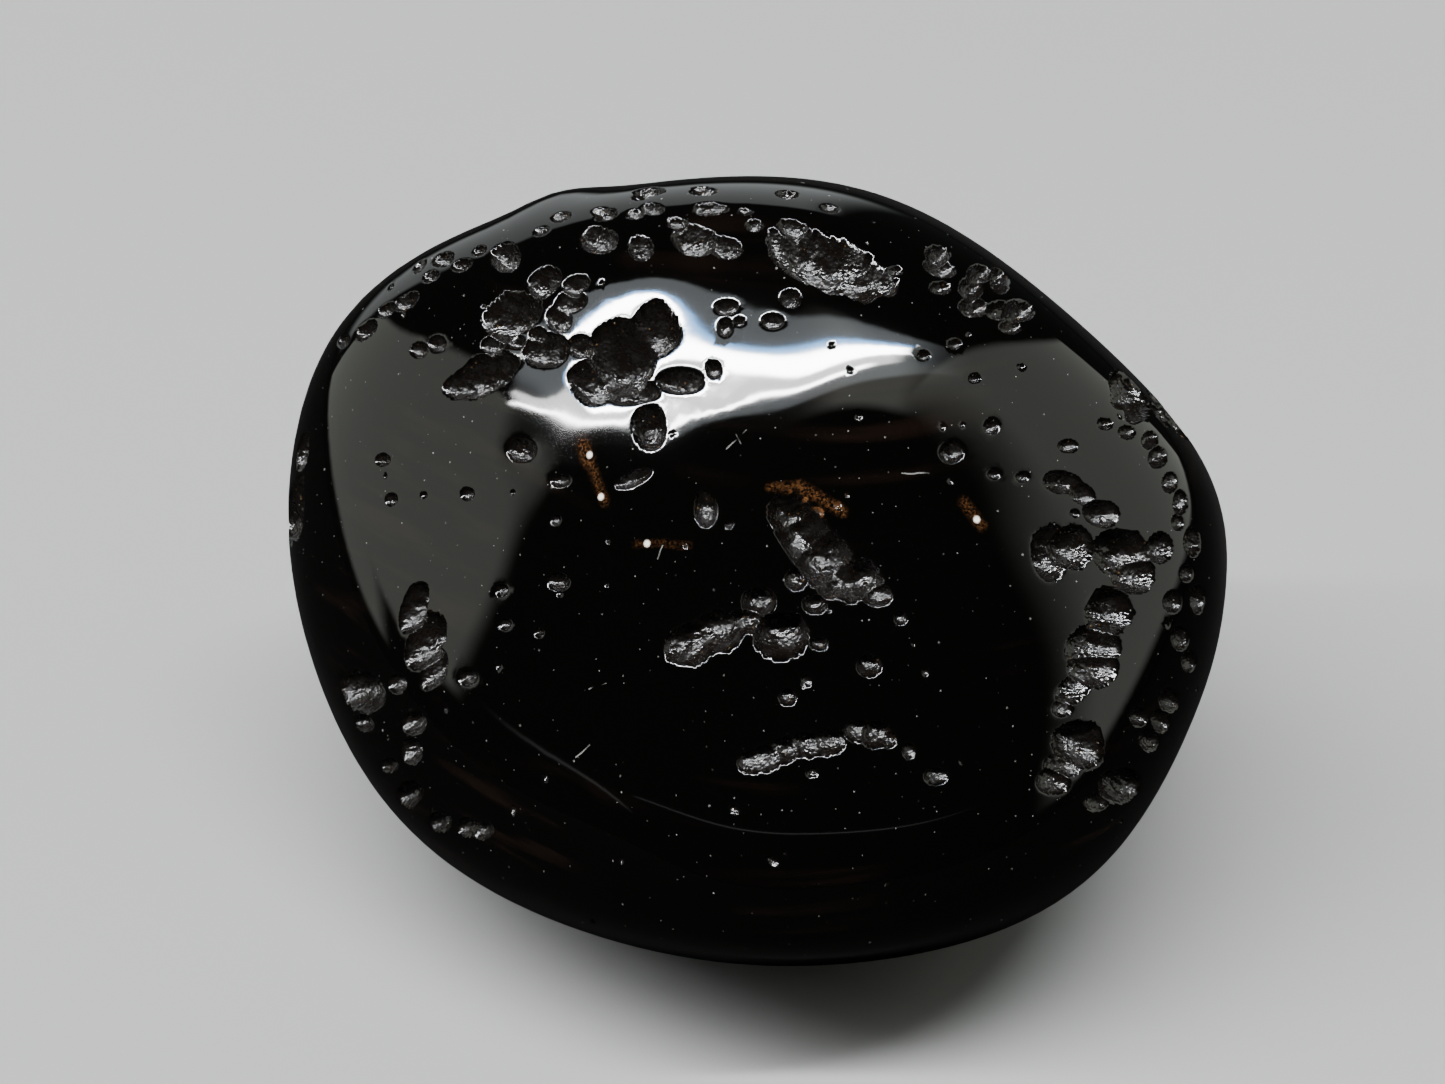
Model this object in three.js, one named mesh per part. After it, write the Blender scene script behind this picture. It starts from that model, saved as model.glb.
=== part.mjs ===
import * as THREE from 'three';
import { mergeVertices } from 'three/addons/utils/BufferGeometryUtils.js';

// Tumbled tektite: one pebble of natural black glass, worn smooth and bright in a tumbler.
// The bubbles of the old melt are open bowls in its skin, alone or run together in clusters.
// Millimetres, +Z up. The front faces -Y and +X is the right. The origin is on the surface that the
// pebble rests on, under the middle of its box.

// ---- Driving dimensions, mm and degrees ----

// Point inside the pebble from which its worn faces are measured
const MIDDLE = new THREE.Vector3(0.13, 0.13, 12.3);

// Broad faces that the pebble wore down to. turn goes from the front towards the right, rise goes up
// from the level, reach is the distance from the middle.
const WORN_FACES = [
  { name: 'front', turn: 16.1, rise: 35.2, reach: 11.22 },
  { name: 'left of front', turn: -41.4, rise: 28, reach: 10.36 },
  { name: 'right of front', turn: 47.1, rise: 18.6, reach: 16.9 },
  { name: 'crown', turn: -7.2, rise: 57.3, reach: 15.17 },
  { name: 'top', turn: 172.5, rise: 77, reach: 15.4 },
  { name: 'back', turn: 180, rise: 6, reach: 15.7 },
  { name: 'left of back', turn: -135, rise: -5, reach: 18.9 },
  { name: 'right of back', turn: 135, rise: -5, reach: 16.4 },
  { name: 'underside', turn: 0, rise: -88, reach: 13.3 },
  { name: 'back undercut', turn: 176, rise: -48, reach: 13.7 },
  { name: 'right end', turn: 80.5, rise: 0.5, reach: 20.5 },
  { name: 'right shoulder', turn: 109, rise: 45.5, reach: 14.7 },
  { name: 'right crown', turn: 120.5, rise: 43.5, reach: 16.5 },
  { name: 'back crown', turn: -166, rise: 51, reach: 14.9 },
  { name: 'left crown', turn: -136, rise: 55.5, reach: 17.8 },
  { name: 'left end', turn: -90.5, rise: 21.3, reach: 21.89 },
  { name: 'left flank', turn: -78.5, rise: -16, reach: 17.4 },
  { name: 'right flank', turn: 75, rise: -17.5, reach: 18.2 },
  { name: 'left undercut', turn: -73.5, rise: -42, reach: 17.6 },
  { name: 'right undercut', turn: 77, rise: -34.5, reach: 16.9 },
  { name: 'front undercut, left', turn: -30.5, rise: -51, reach: 14.3 },
  { name: 'front undercut, right', turn: 19, rise: -55.5, reach: 14.3 },
];

// Round form that the faces are worn into: half sizes along X, Y and Z
const ROUND_FORM = new THREE.Vector3(20.5, 18.5, 18.0);

// How tightly the faces turn into one another: higher is a sharper ridge
const RIDGE_SHARPNESS = 8;

// Gentle rises (+) and hollows (-) of the skin: spread is the angle seen from the middle
const SWELLS = [
  { name: 'dip left of the crown', turn: -52.5, rise: 67.5, spread: 10, height: -0.4 },
  { name: 'dip right of the crown', turn: 6.5, rise: 62, spread: 9.5, height: -0.27 },
  { name: 'dip behind the crown', turn: -9, rise: 76.5, spread: 10, height: -0.59 },
  { name: 'dip round the crown bubbles', turn: -12, rise: 55, spread: 8, height: -0.13 },
  { name: 'dip between the crown bubbles', turn: -29.5, rise: 57, spread: 6.5, height: -0.1 },
  { name: 'ridge right of the crown', turn: 26.5, rise: 53, spread: 9, height: 0.26 },
  { name: 'right cheek', turn: 35, rise: 24.5, spread: 12, height: 0.22 },
  { name: 'swell low in the front', turn: -1.5, rise: 4, spread: 12.5, height: 0.23 },
  { name: 'left waist', turn: -77.5, rise: 13.5, spread: 10, height: -0.08 },
  { name: 'right waist', turn: 83.5, rise: 6, spread: 7.5, height: -0.25 },
  { name: 'hollow in the back', turn: 165, rise: 20, spread: 16, height: -0.5 },
  { name: 'hollow behind the left end', turn: -118, rise: 5, spread: 12, height: -0.4 },
  { name: 'bulge behind the right end', turn: 112, rise: -8, spread: 13, height: 0.4 },
  { name: 'lump behind the left shoulder', turn: -123, rise: 57, spread: 4.5, height: 0.3 },
];

// Front bowls are set out on an upright drawing of the front, as it looks from a point DRAWING_DISTANCE
// away and DRAWING_RISE degrees above the level. x is right and y is up, from the drawing's centre.
const DRAWING_RISE = 30;
const DRAWING_DISTANCE = 92;
const DRAWING_AIM = new THREE.Vector2(-1.2, 1.0);

// A bowl seen slantwise is longer than it looks, by this much at most
const MOST_STRETCH = 2.2;

// Rows are x, y, width, height and tilt of each bowl on that drawing. depth is a share of the width.
const FRONT_CLUSTERS = [
  { name: 'crown, left', depth: 0.45, bowls: [
    [-7.5, 10.2, 1.2, 0.9, 35], [-6.4, 10.1, 0.9, 0.6, 20], [-8.7, 9.0, 2.0, 1.4, 35],
    [-6.6, 9.5, 1.1, 0.7, 20], [-7.0, 8.9, 0.8, 0.9, 0], [-7.4, 7.8, 1.5, 1.1, 10],
    [-9.3, 8.0, 0.8, 0.6, 20], [-9.7, 6.9, 2.6, 1.2, 25],
  ] },
  { name: 'crown, middle', depth: 0.5, bowls: [
    [-3.6, 8.5, 1.5, 1.8, 0], [-4.8, 7.6, 2.5, 2.2, 35], [-5.7, 6.7, 1.7, 1.5, 0],
    [-2.7, 6.7, 1.4, 0.8, 0], [-4.5, 6.3, 1.8, 0.8, 0], [-6.2, 7.9, 0.9, 0.7, 0],
  ] },
  { name: 'crown, right', depth: 0.5, bowls: [
    [6.5, 10.7, 1.1, 0.6, -15], [6.4, 11.2, 0.8, 0.6, 0], [7.6, 10.0, 0.8, 0.7, 0],
    [7.9, 10.5, 0.8, 0.6, 0], [8.6, 10.3, 0.7, 0.9, 0], [7.7, 9.3, 1.0, 0.6, 0],
    [8.6, 9.2, 1.0, 0.6, 0], [9.3, 9.2, 1.0, 0.7, 0],
  ] },
  { name: 'long bubble on the top', depth: 0.5, bowls: [
    [2.6, 10.9, 4.2, 1.8, -22], [1.3, 12.1, 1.0, 0.6, -15], [3.9, 10.2, 1.2, 0.7, -15],
  ] },
  { name: 'pair on the top', depth: 0.5, bowls: [
    [-2.2, 11.7, 1.5, 1.0, -10], [-1.1, 11.4, 1.1, 0.7, -10],
  ] },
  { name: 'back edge of the top', depth: 0.5, bowls: [
    [-3.8, 13.4, 1.1, 0.4, 0], [-1.9, 13.4, 0.9, 0.3, 0], [1.1, 13.3, 0.8, 0.3, -5],
    [-1.7, 12.8, 1.1, 0.4, 0], [-5.3, 12.6, 0.8, 0.4, 10],
  ] },
  { name: 'long bubble in the front', depth: 0.5, bowls: [
    [1.3, 1.9, 1.7, 1.4, -50], [1.7, 1.2, 2.5, 1.6, -55], [2.4, 0.4, 2.1, 1.7, -50],
    [3.1, -0.3, 1.5, 1.3, 0], [3.8, -0.3, 1.2, 1.2, 0], [2.6, -0.5, 0.8, 1.0, 0],
    [4.3, -0.9, 0.9, 0.7, 0], [1.4, -0.3, 0.7, 0.7, 0],
  ] },
  { name: 'knot in the front', depth: 0.5, bowls: [
    [0.1, -1.1, 1.1, 1.0, 0], [0.9, -2.3, 1.8, 1.5, 0], [-0.2, -1.8, 0.8, 0.8, 0],
  ] },
  { name: 'bowl in the front', depth: 0.4, bowls: [
    [-2.4, -2.6, 1.5, 1.3, 15], [-1.4, -2.2, 1.8, 1.3, 15], [-0.7, -1.9, 0.9, 0.8, 0],
  ] },
  { name: 'trench in the front', depth: 0.5, bowls: [
    [-0.2, -6.8, 0.9, 0.7, 5], [0.3, -6.7, 1.1, 0.8, 5], [1.0, -6.4, 1.0, 0.8, 5],
    [1.7, -6.2, 1.0, 0.8, 5], [2.6, -6.1, 1.1, 0.8, 5], [3.6, -5.7, 0.9, 0.7, 5],
    [4.2, -5.8, 1.1, 0.8, 5],
  ] },
  { name: 'leaf on the left', depth: 0.5, bowls: [
    [-12.1, -1.3, 0.8, 1.8, -20], [-11.7, -2.5, 1.1, 2.1, -20], [-11.4, -3.5, 0.8, 1.4, -20],
  ] },
  { name: 'low on the left', depth: 0.5, bowls: [
    [-14.0, -4.3, 1.7, 1.3, -35], [-12.1, -5.4, 0.8, 0.8, 0], [-12.2, -6.4, 0.7, 0.9, 0],
    [-12.3, -7.9, 0.9, 0.9, -30], [-11.2, -8.9, 0.8, 0.7, 0], [-10.2, -9.1, 0.9, 0.6, 0],
  ] },
  { name: 'left end of the top', depth: 0.5, bowls: [
    [-11.1, 11.0, 0.8, 0.5, 25], [-12.4, 9.5, 0.9, 0.5, 35], [-13.8, 8.5, 0.9, 0.5, 40],
  ] },
  { name: 'high on the right', depth: 0.5, bowls: [
    [10.4, 0.6, 1.2, 1.8, 0], [11.2, 0.8, 1.3, 1.4, 0], [12.9, 0.6, 1.9, 1.6, -20],
    [13.3, -0.1, 1.4, 1.3, -20], [14.3, 0.8, 0.8, 1.0, 0], [10.8, 3.1, 1.2, 0.7, -10],
    [12.2, 2.0, 1.2, 0.9, -10],
  ] },
  { name: 'low on the right', depth: 0.5, bowls: [
    [12.5, -1.5, 1.5, 1.6, 0], [11.9, -2.7, 1.8, 1.4, 20], [11.9, -3.5, 1.6, 1.2, 0],
    [11.2, -4.2, 1.3, 0.8, 35], [11.4, -6.2, 1.6, 1.6, 0], [10.9, -6.9, 1.2, 0.8, 0],
    [12.9, -7.6, 1.3, 1.1, 20],
  ] },
  { name: 'single bubbles', depth: 0.5, bowls: [
    [-3.8, 5.1, 1.1, 1.4, 0], [-8.3, 4.3, 1.0, 0.8, 0], [-4.3, 3.3, 1.2, 0.5, 25],
    [-1.8, 2.1, 0.7, 1.1, 0], [-8.9, 11.1, 1.0, 1.0, 0], [-5.6, 11.7, 1.2, 0.9, 0],
    [-4.1, 11.4, 0.8, 0.8, 0], [0.6, 8.8, 0.8, 0.5, 0], [4.0, -3.4, 0.8, 0.7, 0],
    [6.9, 4.2, 0.8, 0.7, 0], [-7.0, -0.4, 0.7, 0.6, 0],
  ] },
];

// Clusters on the sides, back and underside, by direction from the middle. size is the width of the
// widest bowl, count the number of bowls, and lie the slope at which the cluster lies along the skin.
const FAR_CLUSTERS = [
  { name: 'right end, upper', turn: 88, rise: 24, count: 6, size: 1.9, lie: -60 },
  { name: 'right end, lower', turn: 98, rise: -20, count: 5, size: 2.1, lie: -100 },
  { name: 'behind the right end', turn: 126, rise: 14, count: 6, size: 2.2, lie: 30 },
  { name: 'right of back, low', turn: 152, rise: -22, count: 4, size: 1.8, lie: 10 },
  { name: 'back, upper', turn: 178, rise: 36, count: 7, size: 2.3, lie: 160 },
  { name: 'back, middle', turn: -166, rise: 4, count: 5, size: 2.5, lie: -70 },
  { name: 'left of back, upper', turn: -136, rise: 32, count: 6, size: 2.0, lie: -40 },
  { name: 'left of back, low', turn: -126, rise: -16, count: 5, size: 2.2, lie: 200 },
  { name: 'left end', turn: -98, rise: 8, count: 5, size: 1.8, lie: 100 },
  { name: 'left undercut', turn: -92, rise: -34, count: 4, size: 1.6, lie: -20 },
  { name: 'back undercut', turn: 166, rise: -46, count: 4, size: 1.8, lie: 180 },
  { name: 'right undercut', turn: 112, rise: -40, count: 4, size: 1.7, lie: 20 },
];

// Within a far cluster, as shares of its size: spacing along it, scatter along and across it, least width
const FAR_SPACING = 0.5;
const FAR_SCATTER = 0.55;
const FAR_LEAST = 0.4;

// Single bubbles there: how many, their widths, and the parts of the skin that are left to other bowls
const FAR_SINGLES = 26;
const SINGLE_LEAST = 0.6;
const SINGLE_MOST = 1.3;
const SINGLE_FACING = 0.2;
const SINGLE_LOWEST = -0.7;

// A far bowl's length over its width, its depth as a share of its width, and the seed of their places
const FAR_LENGTH = 1.25;
const FAR_DEPTH = 0.42;
const FAR_SEED = 41;

// Power of a bowl's section: 0.5 is half an ellipse, 1 a shallow dish
const BOWL_SECTION = 0.7;

// The lowest part of the pebble is worn to a small level patch
const REST_LEVEL = 0;

// ---- Fineness of the faceted solid ----

// Divisions of the starting ball's edges, and the rounds of halving that follow
const BALL_DETAIL = 8;
const HALVING_ROUNDS = 3;

// Longest edge of a triangle in a bowl, as a share of the bowl's narrower width, and its least value
const EDGE_SHARE = 0.45;
const LEAST_EDGE = 0.38;

// A triangle is in a bowl up to this share of the bowl's half width
const BOWL_MARGIN = 1.2;

// Places along an edge where bowls are looked for: both ends, the middle and the quarters
const EDGE_SAMPLES = [0, 0.25, 0.5, 0.75, 1];

// Search along a sight line for the skin: half length, steps and halvings
const SEARCH_REACH = 26;
const SEARCH_STEPS = 60;
const SEARCH_HALVINGS = 30;

// ---- The pebble's skin ----

// Unit direction from the middle, by its turn and rise
function heading(turn, rise) {
  const a = THREE.MathUtils.degToRad(turn);
  const e = THREE.MathUtils.degToRad(rise);
  return new THREE.Vector3(Math.sin(a) * Math.cos(e), -Math.cos(a) * Math.cos(e), Math.sin(e));
}

const FACE_NORMALS = WORN_FACES.map((face) => heading(face.turn, face.rise));
const SWELL_CENTRES = SWELLS.map((swell) => heading(swell.turn, swell.rise));

// Distance from the middle to the skin: the worn faces and the round form, blended at the ridges
function skinRadius(direction) {
  const round = direction.clone().divide(ROUND_FORM).length();
  let sum = round ** RIDGE_SHARPNESS;
  WORN_FACES.forEach((face, i) => {
    const lean = Math.max(0, direction.dot(FACE_NORMALS[i]));
    sum += (lean / face.reach) ** RIDGE_SHARPNESS;
  });
  let radius = sum ** (-1 / RIDGE_SHARPNESS);
  SWELLS.forEach((swell, i) => {
    const angle = direction.angleTo(SWELL_CENTRES[i]) / THREE.MathUtils.degToRad(swell.spread);
    radius += swell.height * Math.exp(-0.5 * angle * angle);
  });
  return radius;
}

function skinPoint(direction) {
  return direction.clone().multiplyScalar(skinRadius(direction)).add(MIDDLE);
}

// Outward normal of the skin, from two short steps along it
const NORMAL_STEP = 0.01;

function skinNormal(direction) {
  const across = new THREE.Vector3(-direction.y, direction.x, 0).normalize();
  const up = new THREE.Vector3().crossVectors(direction, across).normalize();
  const from = skinPoint(direction);
  const aside = skinPoint(direction.clone().addScaledVector(across, NORMAL_STEP).normalize()).sub(from);
  const above = skinPoint(direction.clone().addScaledVector(up, NORMAL_STEP).normalize()).sub(from);
  return aside.cross(above).normalize();
}

// ---- Bowls ----

const DRAWING_RIGHT = new THREE.Vector3(1, 0, 0);
const DRAWING_TOWARDS = heading(0, DRAWING_RISE);
const DRAWING_UP = new THREE.Vector3().crossVectors(DRAWING_TOWARDS, DRAWING_RIGHT);

// Point of the drawing, which is a plane through the middle
function drawingPoint(x, y) {
  return MIDDLE.clone().addScaledVector(DRAWING_RIGHT, x).addScaledVector(DRAWING_UP, y);
}

const DRAWING_EYE = drawingPoint(DRAWING_AIM.x, DRAWING_AIM.y)
  .addScaledVector(DRAWING_TOWARDS, DRAWING_DISTANCE);

function heightOverSkin(point) {
  const spoke = point.clone().sub(MIDDLE);
  return spoke.length() - skinRadius(spoke.normalize());
}

// Direction from the middle of the first skin point on the sight line through a point of the drawing
function dropOnSkin(x, y) {
  const onDrawing = drawingPoint(x, y);
  const line = onDrawing.clone().sub(DRAWING_EYE).normalize();
  const at = (t) => onDrawing.clone().addScaledVector(line, t);
  const stride = (2 * SEARCH_REACH) / SEARCH_STEPS;
  let inner = -SEARCH_REACH;
  while (heightOverSkin(at(inner)) > 0) {
    inner += stride;
    if (inner > SEARCH_REACH) {
      throw new Error(`the skin is not behind ${x}, ${y}`);
    }
  }
  let outer = inner - stride;
  for (let i = 0; i < SEARCH_HALVINGS; i++) {
    const half = (outer + inner) / 2;
    if (heightOverSkin(at(half)) > 0) {
      outer = half;
    } else {
      inner = half;
    }
  }
  return at(inner).sub(MIDDLE).normalize();
}

// A bowl from its half width and half length along the skin, which need not be square to each other
function bowl(direction, across, along, depthShare) {
  const wide = across.length();
  const long = along.length();
  return {
    direction,
    centre: skinPoint(direction),
    across,
    along,
    skew: across.dot(along),
    reach: Math.max(wide, long),
    span: 2 * Math.min(wide, long),
    depth: 2 * Math.min(wide, long) * depthShare,
  };
}

// How far out in a bowl a skin point is: 0 at its centre, 1 at its rim
function shareOut(pit, point) {
  const offset = point.clone().sub(pit.centre);
  if (offset.length() > 2 * pit.reach) {
    return Infinity;
  }
  const a = pit.across.lengthSq();
  const b = pit.along.lengthSq();
  const da = offset.dot(pit.across);
  const db = offset.dot(pit.along);
  const area = a * b - pit.skew * pit.skew;
  return Math.hypot((da * b - db * pit.skew) / area, (db * a - da * pit.skew) / area);
}

// Vector of the drawing laid down on the skin, so that it looks the same from the drawing's eye
function laidOnSkin(vector, normal, sight) {
  const facing = Math.max(sight.dot(normal), 1 / MOST_STRETCH);
  const laid = vector.clone().addScaledVector(sight, -vector.dot(normal) / facing);
  return laid.addScaledVector(normal, -laid.dot(normal));
}

function frontBowl([x, y, width, height, tilt], depthShare) {
  const direction = dropOnSkin(x, y);
  const normal = skinNormal(direction);
  const sight = DRAWING_EYE.clone().sub(skinPoint(direction)).normalize();
  const angle = THREE.MathUtils.degToRad(tilt);
  const wide = DRAWING_RIGHT.clone().multiplyScalar(Math.cos(angle));
  wide.addScaledVector(DRAWING_UP, Math.sin(angle)).multiplyScalar(width / 2);
  const high = DRAWING_RIGHT.clone().multiplyScalar(-Math.sin(angle));
  high.addScaledVector(DRAWING_UP, Math.cos(angle)).multiplyScalar(height / 2);
  return bowl(direction, laidOnSkin(wide, normal, sight), laidOnSkin(high, normal, sight), depthShare);
}

// Repeatable numbers from 0 to 1, by multiplying and keeping the remainder
const SOURCE_FACTOR = 16807;
const SOURCE_PRIME = 2147483647;

function numberSource(seed) {
  let state = seed;
  return () => {
    state = (state * SOURCE_FACTOR) % SOURCE_PRIME;
    return state / SOURCE_PRIME;
  };
}

// Vectors along the skin: towards the slope called lie, and square to it
function skinAxes(direction, lie) {
  const normal = skinNormal(direction);
  const east = new THREE.Vector3(-normal.y, normal.x, 0).normalize();
  const north = new THREE.Vector3().crossVectors(normal, east);
  const slope = THREE.MathUtils.degToRad(lie);
  const forward = east.multiplyScalar(Math.cos(slope)).addScaledVector(north, Math.sin(slope));
  return { forward, sideways: new THREE.Vector3().crossVectors(normal, forward) };
}

function farBowl(direction, lie, width) {
  const { forward, sideways } = skinAxes(direction, lie);
  forward.multiplyScalar((width * FAR_LENGTH) / 2);
  sideways.multiplyScalar(width / 2);
  return bowl(direction, forward, sideways, FAR_DEPTH);
}

// Bowls that run together along the skin, each at its own slope and width
function farCluster(cluster, random) {
  const start = heading(cluster.turn, cluster.rise);
  const { forward, sideways } = skinAxes(start, cluster.lie);
  const radius = skinRadius(start);
  const bowls = [];
  for (let i = 0; i < cluster.count; i++) {
    const width = cluster.size * (1 - (1 - FAR_LEAST) * random());
    const ahead = (i - (cluster.count - 1) / 2) * FAR_SPACING + (random() - random()) * FAR_SCATTER;
    const aside = (random() - random()) * FAR_SCATTER;
    const direction = start.clone().addScaledVector(forward, (cluster.size * ahead) / radius);
    direction.addScaledVector(sideways, (cluster.size * aside) / radius).normalize();
    bowls.push(farBowl(direction, 180 * random(), width));
  }
  return bowls;
}

// Lone bubbles, spread over the skin that the drawing doesn't show
function farSingles(random) {
  const bowls = [];
  while (bowls.length < FAR_SINGLES) {
    const z = 2 * random() - 1;
    const turn = 2 * Math.PI * random();
    const level = Math.sqrt(1 - z * z);
    const direction = new THREE.Vector3(Math.sin(turn) * level, -Math.cos(turn) * level, z);
    if (direction.dot(DRAWING_TOWARDS) < SINGLE_FACING && z > SINGLE_LOWEST) {
      const width = SINGLE_LEAST + (SINGLE_MOST - SINGLE_LEAST) * random() ** 2;
      bowls.push(farBowl(direction, 180 * random(), width));
    }
  }
  return bowls;
}

const random = numberSource(FAR_SEED);
const BOWLS = [
  ...FRONT_CLUSTERS.flatMap((cluster) => cluster.bowls.map((row) => frontBowl(row, cluster.depth))),
  ...FAR_CLUSTERS.flatMap((cluster) => farCluster(cluster, random)),
  ...farSingles(random),
];

// Depth of the deepest bowl at a skin point
function bowlDepth(point) {
  let depth = 0;
  for (const pit of BOWLS) {
    const out = shareOut(pit, point);
    if (out < 1) {
      depth = Math.max(depth, pit.depth * (1 - out * out) ** BOWL_SECTION);
    }
  }
  return depth;
}

// ---- The faceted solid ----

// Point of the finished pebble in a direction: the skin, less the bowls, and level where it rests
function pebblePoint(direction) {
  const radius = skinRadius(direction) - bowlDepth(skinPoint(direction));
  const drop = Math.max(0, -direction.z);
  const toRest = drop > 0 ? (MIDDLE.z - REST_LEVEL) / drop : Infinity;
  return direction.clone().multiplyScalar(Math.min(radius, toRest)).add(MIDDLE);
}

// Longest that an edge through these skin points may be
function longestEdge(points) {
  let longest = Infinity;
  for (const pit of BOWLS) {
    if (points.some((point) => shareOut(pit, point) < BOWL_MARGIN)) {
      longest = Math.min(longest, Math.max(LEAST_EDGE, pit.span * EDGE_SHARE));
    }
  }
  return longest;
}

// One round of halving: each edge that is too long gets a middle, and its triangles are split to suit
function halveLongEdges(directions, triangles) {
  const middles = new Map();
  const middleOf = (a, b) => {
    const key = a < b ? `${a},${b}` : `${b},${a}`;
    if (!middles.has(key)) {
      const along = EDGE_SAMPLES.map((t) => directions[a].clone().lerp(directions[b], t).normalize());
      const points = along.map(skinPoint);
      const length = points.at(0).distanceTo(points.at(-1));
      const middle = along[(along.length - 1) / 2];
      middles.set(key, length > longestEdge(points) ? directions.push(middle) - 1 : -1);
    }
    return middles.get(key);
  };
  return triangles.flatMap((corners) => splitTriangle(corners, middleOf));
}

// Splits a triangle at the middles of those of its edges that have one
function splitTriangle([a, b, c], middleOf) {
  const ab = middleOf(a, b);
  const bc = middleOf(b, c);
  const ca = middleOf(c, a);
  const count = [ab, bc, ca].filter((middle) => middle >= 0).length;
  if (count === 0) {
    return [[a, b, c]];
  }
  if (count === 3) {
    return [[a, ab, ca], [ab, b, bc], [ca, bc, c], [ab, bc, ca]];
  }
  // Turn the triangle until its first edge is halved and, with two halved, its third is whole
  const turned = count === 1 ? ab < 0 : ca >= 0;
  if (turned) {
    return splitTriangle([b, c, a], middleOf);
  }
  if (count === 1) {
    return [[a, ab, c], [ab, b, c]];
  }
  return [[ab, b, bc], [a, ab, bc], [a, bc, c]];
}

function startingBall() {
  const geometry = new THREE.IcosahedronGeometry(1, BALL_DETAIL);
  geometry.deleteAttribute('normal');
  geometry.deleteAttribute('uv');
  const ball = mergeVertices(geometry);
  const directions = [];
  for (let i = 0; i < ball.attributes.position.count; i++) {
    directions.push(new THREE.Vector3().fromBufferAttribute(ball.attributes.position, i).normalize());
  }
  const triangles = [];
  for (let i = 0; i < ball.index.count; i += 3) {
    triangles.push([ball.index.getX(i), ball.index.getX(i + 1), ball.index.getX(i + 2)]);
  }
  return { directions, triangles };
}

function pebbleGeometry() {
  const { directions, triangles: coarse } = startingBall();
  let triangles = coarse;
  for (let i = 0; i < HALVING_ROUNDS; i++) {
    triangles = halveLongEdges(directions, triangles);
  }
  const points = directions.flatMap((direction) => pebblePoint(direction).toArray());
  const geometry = new THREE.BufferGeometry();
  geometry.setAttribute('position', new THREE.Float32BufferAttribute(points, 3));
  geometry.setIndex(triangles.flat());
  geometry.computeVertexNormals();
  return geometry;
}

function blackGlass() {
  return new THREE.MeshStandardMaterial({ color: 0x0d0b0a, roughness: 0.08, metalness: 0 });
}

function tektite() {
  const mesh = new THREE.Mesh(pebbleGeometry(), blackGlass());
  mesh.name = 'tektite';
  return mesh;
}

const pebble = new THREE.Group();
pebble.add(tektite());

export default pebble;
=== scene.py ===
# %% [markdown]
# # A tumbled tektite
#
# A tektite is a splash of rock that a meteorite melted, thrown up and chilled to glass in the air. This
# one was then tumbled in a barrel with grit: the skin came out mirror bright and softly faceted, while
# the old gas bubbles, which the grit couldn't reach, stayed open as rough little bowls. So the pebble is
# one closed skin of black glass with bowls sunk in it, and all its looks come from three things: the
# slow curve of the skin, the shape of the bubbles, and what the bright skin mirrors. It could be sculpted
# by hand. Here every shape is written down as a few numbers, so each step can be read and changed.

import bpy
import numpy as np
from mathutils import Matrix, Vector


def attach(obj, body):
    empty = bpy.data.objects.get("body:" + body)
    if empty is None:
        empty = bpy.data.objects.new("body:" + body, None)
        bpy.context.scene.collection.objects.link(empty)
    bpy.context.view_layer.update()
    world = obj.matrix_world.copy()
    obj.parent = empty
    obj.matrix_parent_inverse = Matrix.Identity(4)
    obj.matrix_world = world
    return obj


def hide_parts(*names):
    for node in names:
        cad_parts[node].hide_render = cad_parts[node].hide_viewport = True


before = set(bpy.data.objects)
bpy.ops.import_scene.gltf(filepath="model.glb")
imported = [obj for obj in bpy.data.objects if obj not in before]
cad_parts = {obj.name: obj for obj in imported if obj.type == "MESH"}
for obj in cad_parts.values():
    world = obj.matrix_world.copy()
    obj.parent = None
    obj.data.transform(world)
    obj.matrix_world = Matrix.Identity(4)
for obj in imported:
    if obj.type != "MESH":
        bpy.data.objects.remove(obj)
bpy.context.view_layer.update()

MM = 0.001

# %% [markdown]
# ## Words for directions
#
# A pebble has no edges to measure from. Plain X, Y and Z would do, but a mark on a round stone is easier
# to place as on a globe, so everything is placed from one point inside it: a turn runs from the front
# towards the right, and a rise goes up from the level.

# %% Directions from the middle of the pebble
MIDDLE = np.array([0.13, 0.13, 12.3])


def unit(vectors):
    return vectors / np.linalg.norm(vectors, axis=-1, keepdims=True)


def heading(turn, rise):
    a, e = np.radians(turn), np.radians(rise)
    return np.stack([np.sin(a) * np.cos(e), -np.cos(a) * np.cos(e), np.sin(e)], axis=-1)


print("straight up is", heading(0.0, 90.0).round(3))

# %% [markdown]
# ## The camera
#
# The pebble is looked at from a hand's width away and thirty degrees above the table, through a lens
# that is a little long, so that its far side isn't shrunk much. The aim is just left of and above the
# pebble's middle. The camera could be turned by a constraint that tracks the pebble. Its three axes are
# set outright instead, because the same axes make the drawing plane that the bubbles are laid out on.

# %% Set up the camera
CAMERA_RISE = 30.0
CAMERA_DISTANCE = 92.0
CAMERA_AIM = (-1.2, 1.0)
IMAGE_WIDTH_PX = 1445
PX_PER_MM = 28.4
SENSOR_MM = 36.0

LOOK_RIGHT = np.array([1.0, 0.0, 0.0])
LOOK_BACK = heading(0.0, CAMERA_RISE)
LOOK_UP = np.cross(LOOK_BACK, LOOK_RIGHT)


def drawing_point(x, y):
    """Point of an upright plane through the middle that faces the camera, mm right and up."""
    return MIDDLE + x * LOOK_RIGHT + y * LOOK_UP


EYE = drawing_point(*CAMERA_AIM) + CAMERA_DISTANCE * LOOK_BACK


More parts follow.
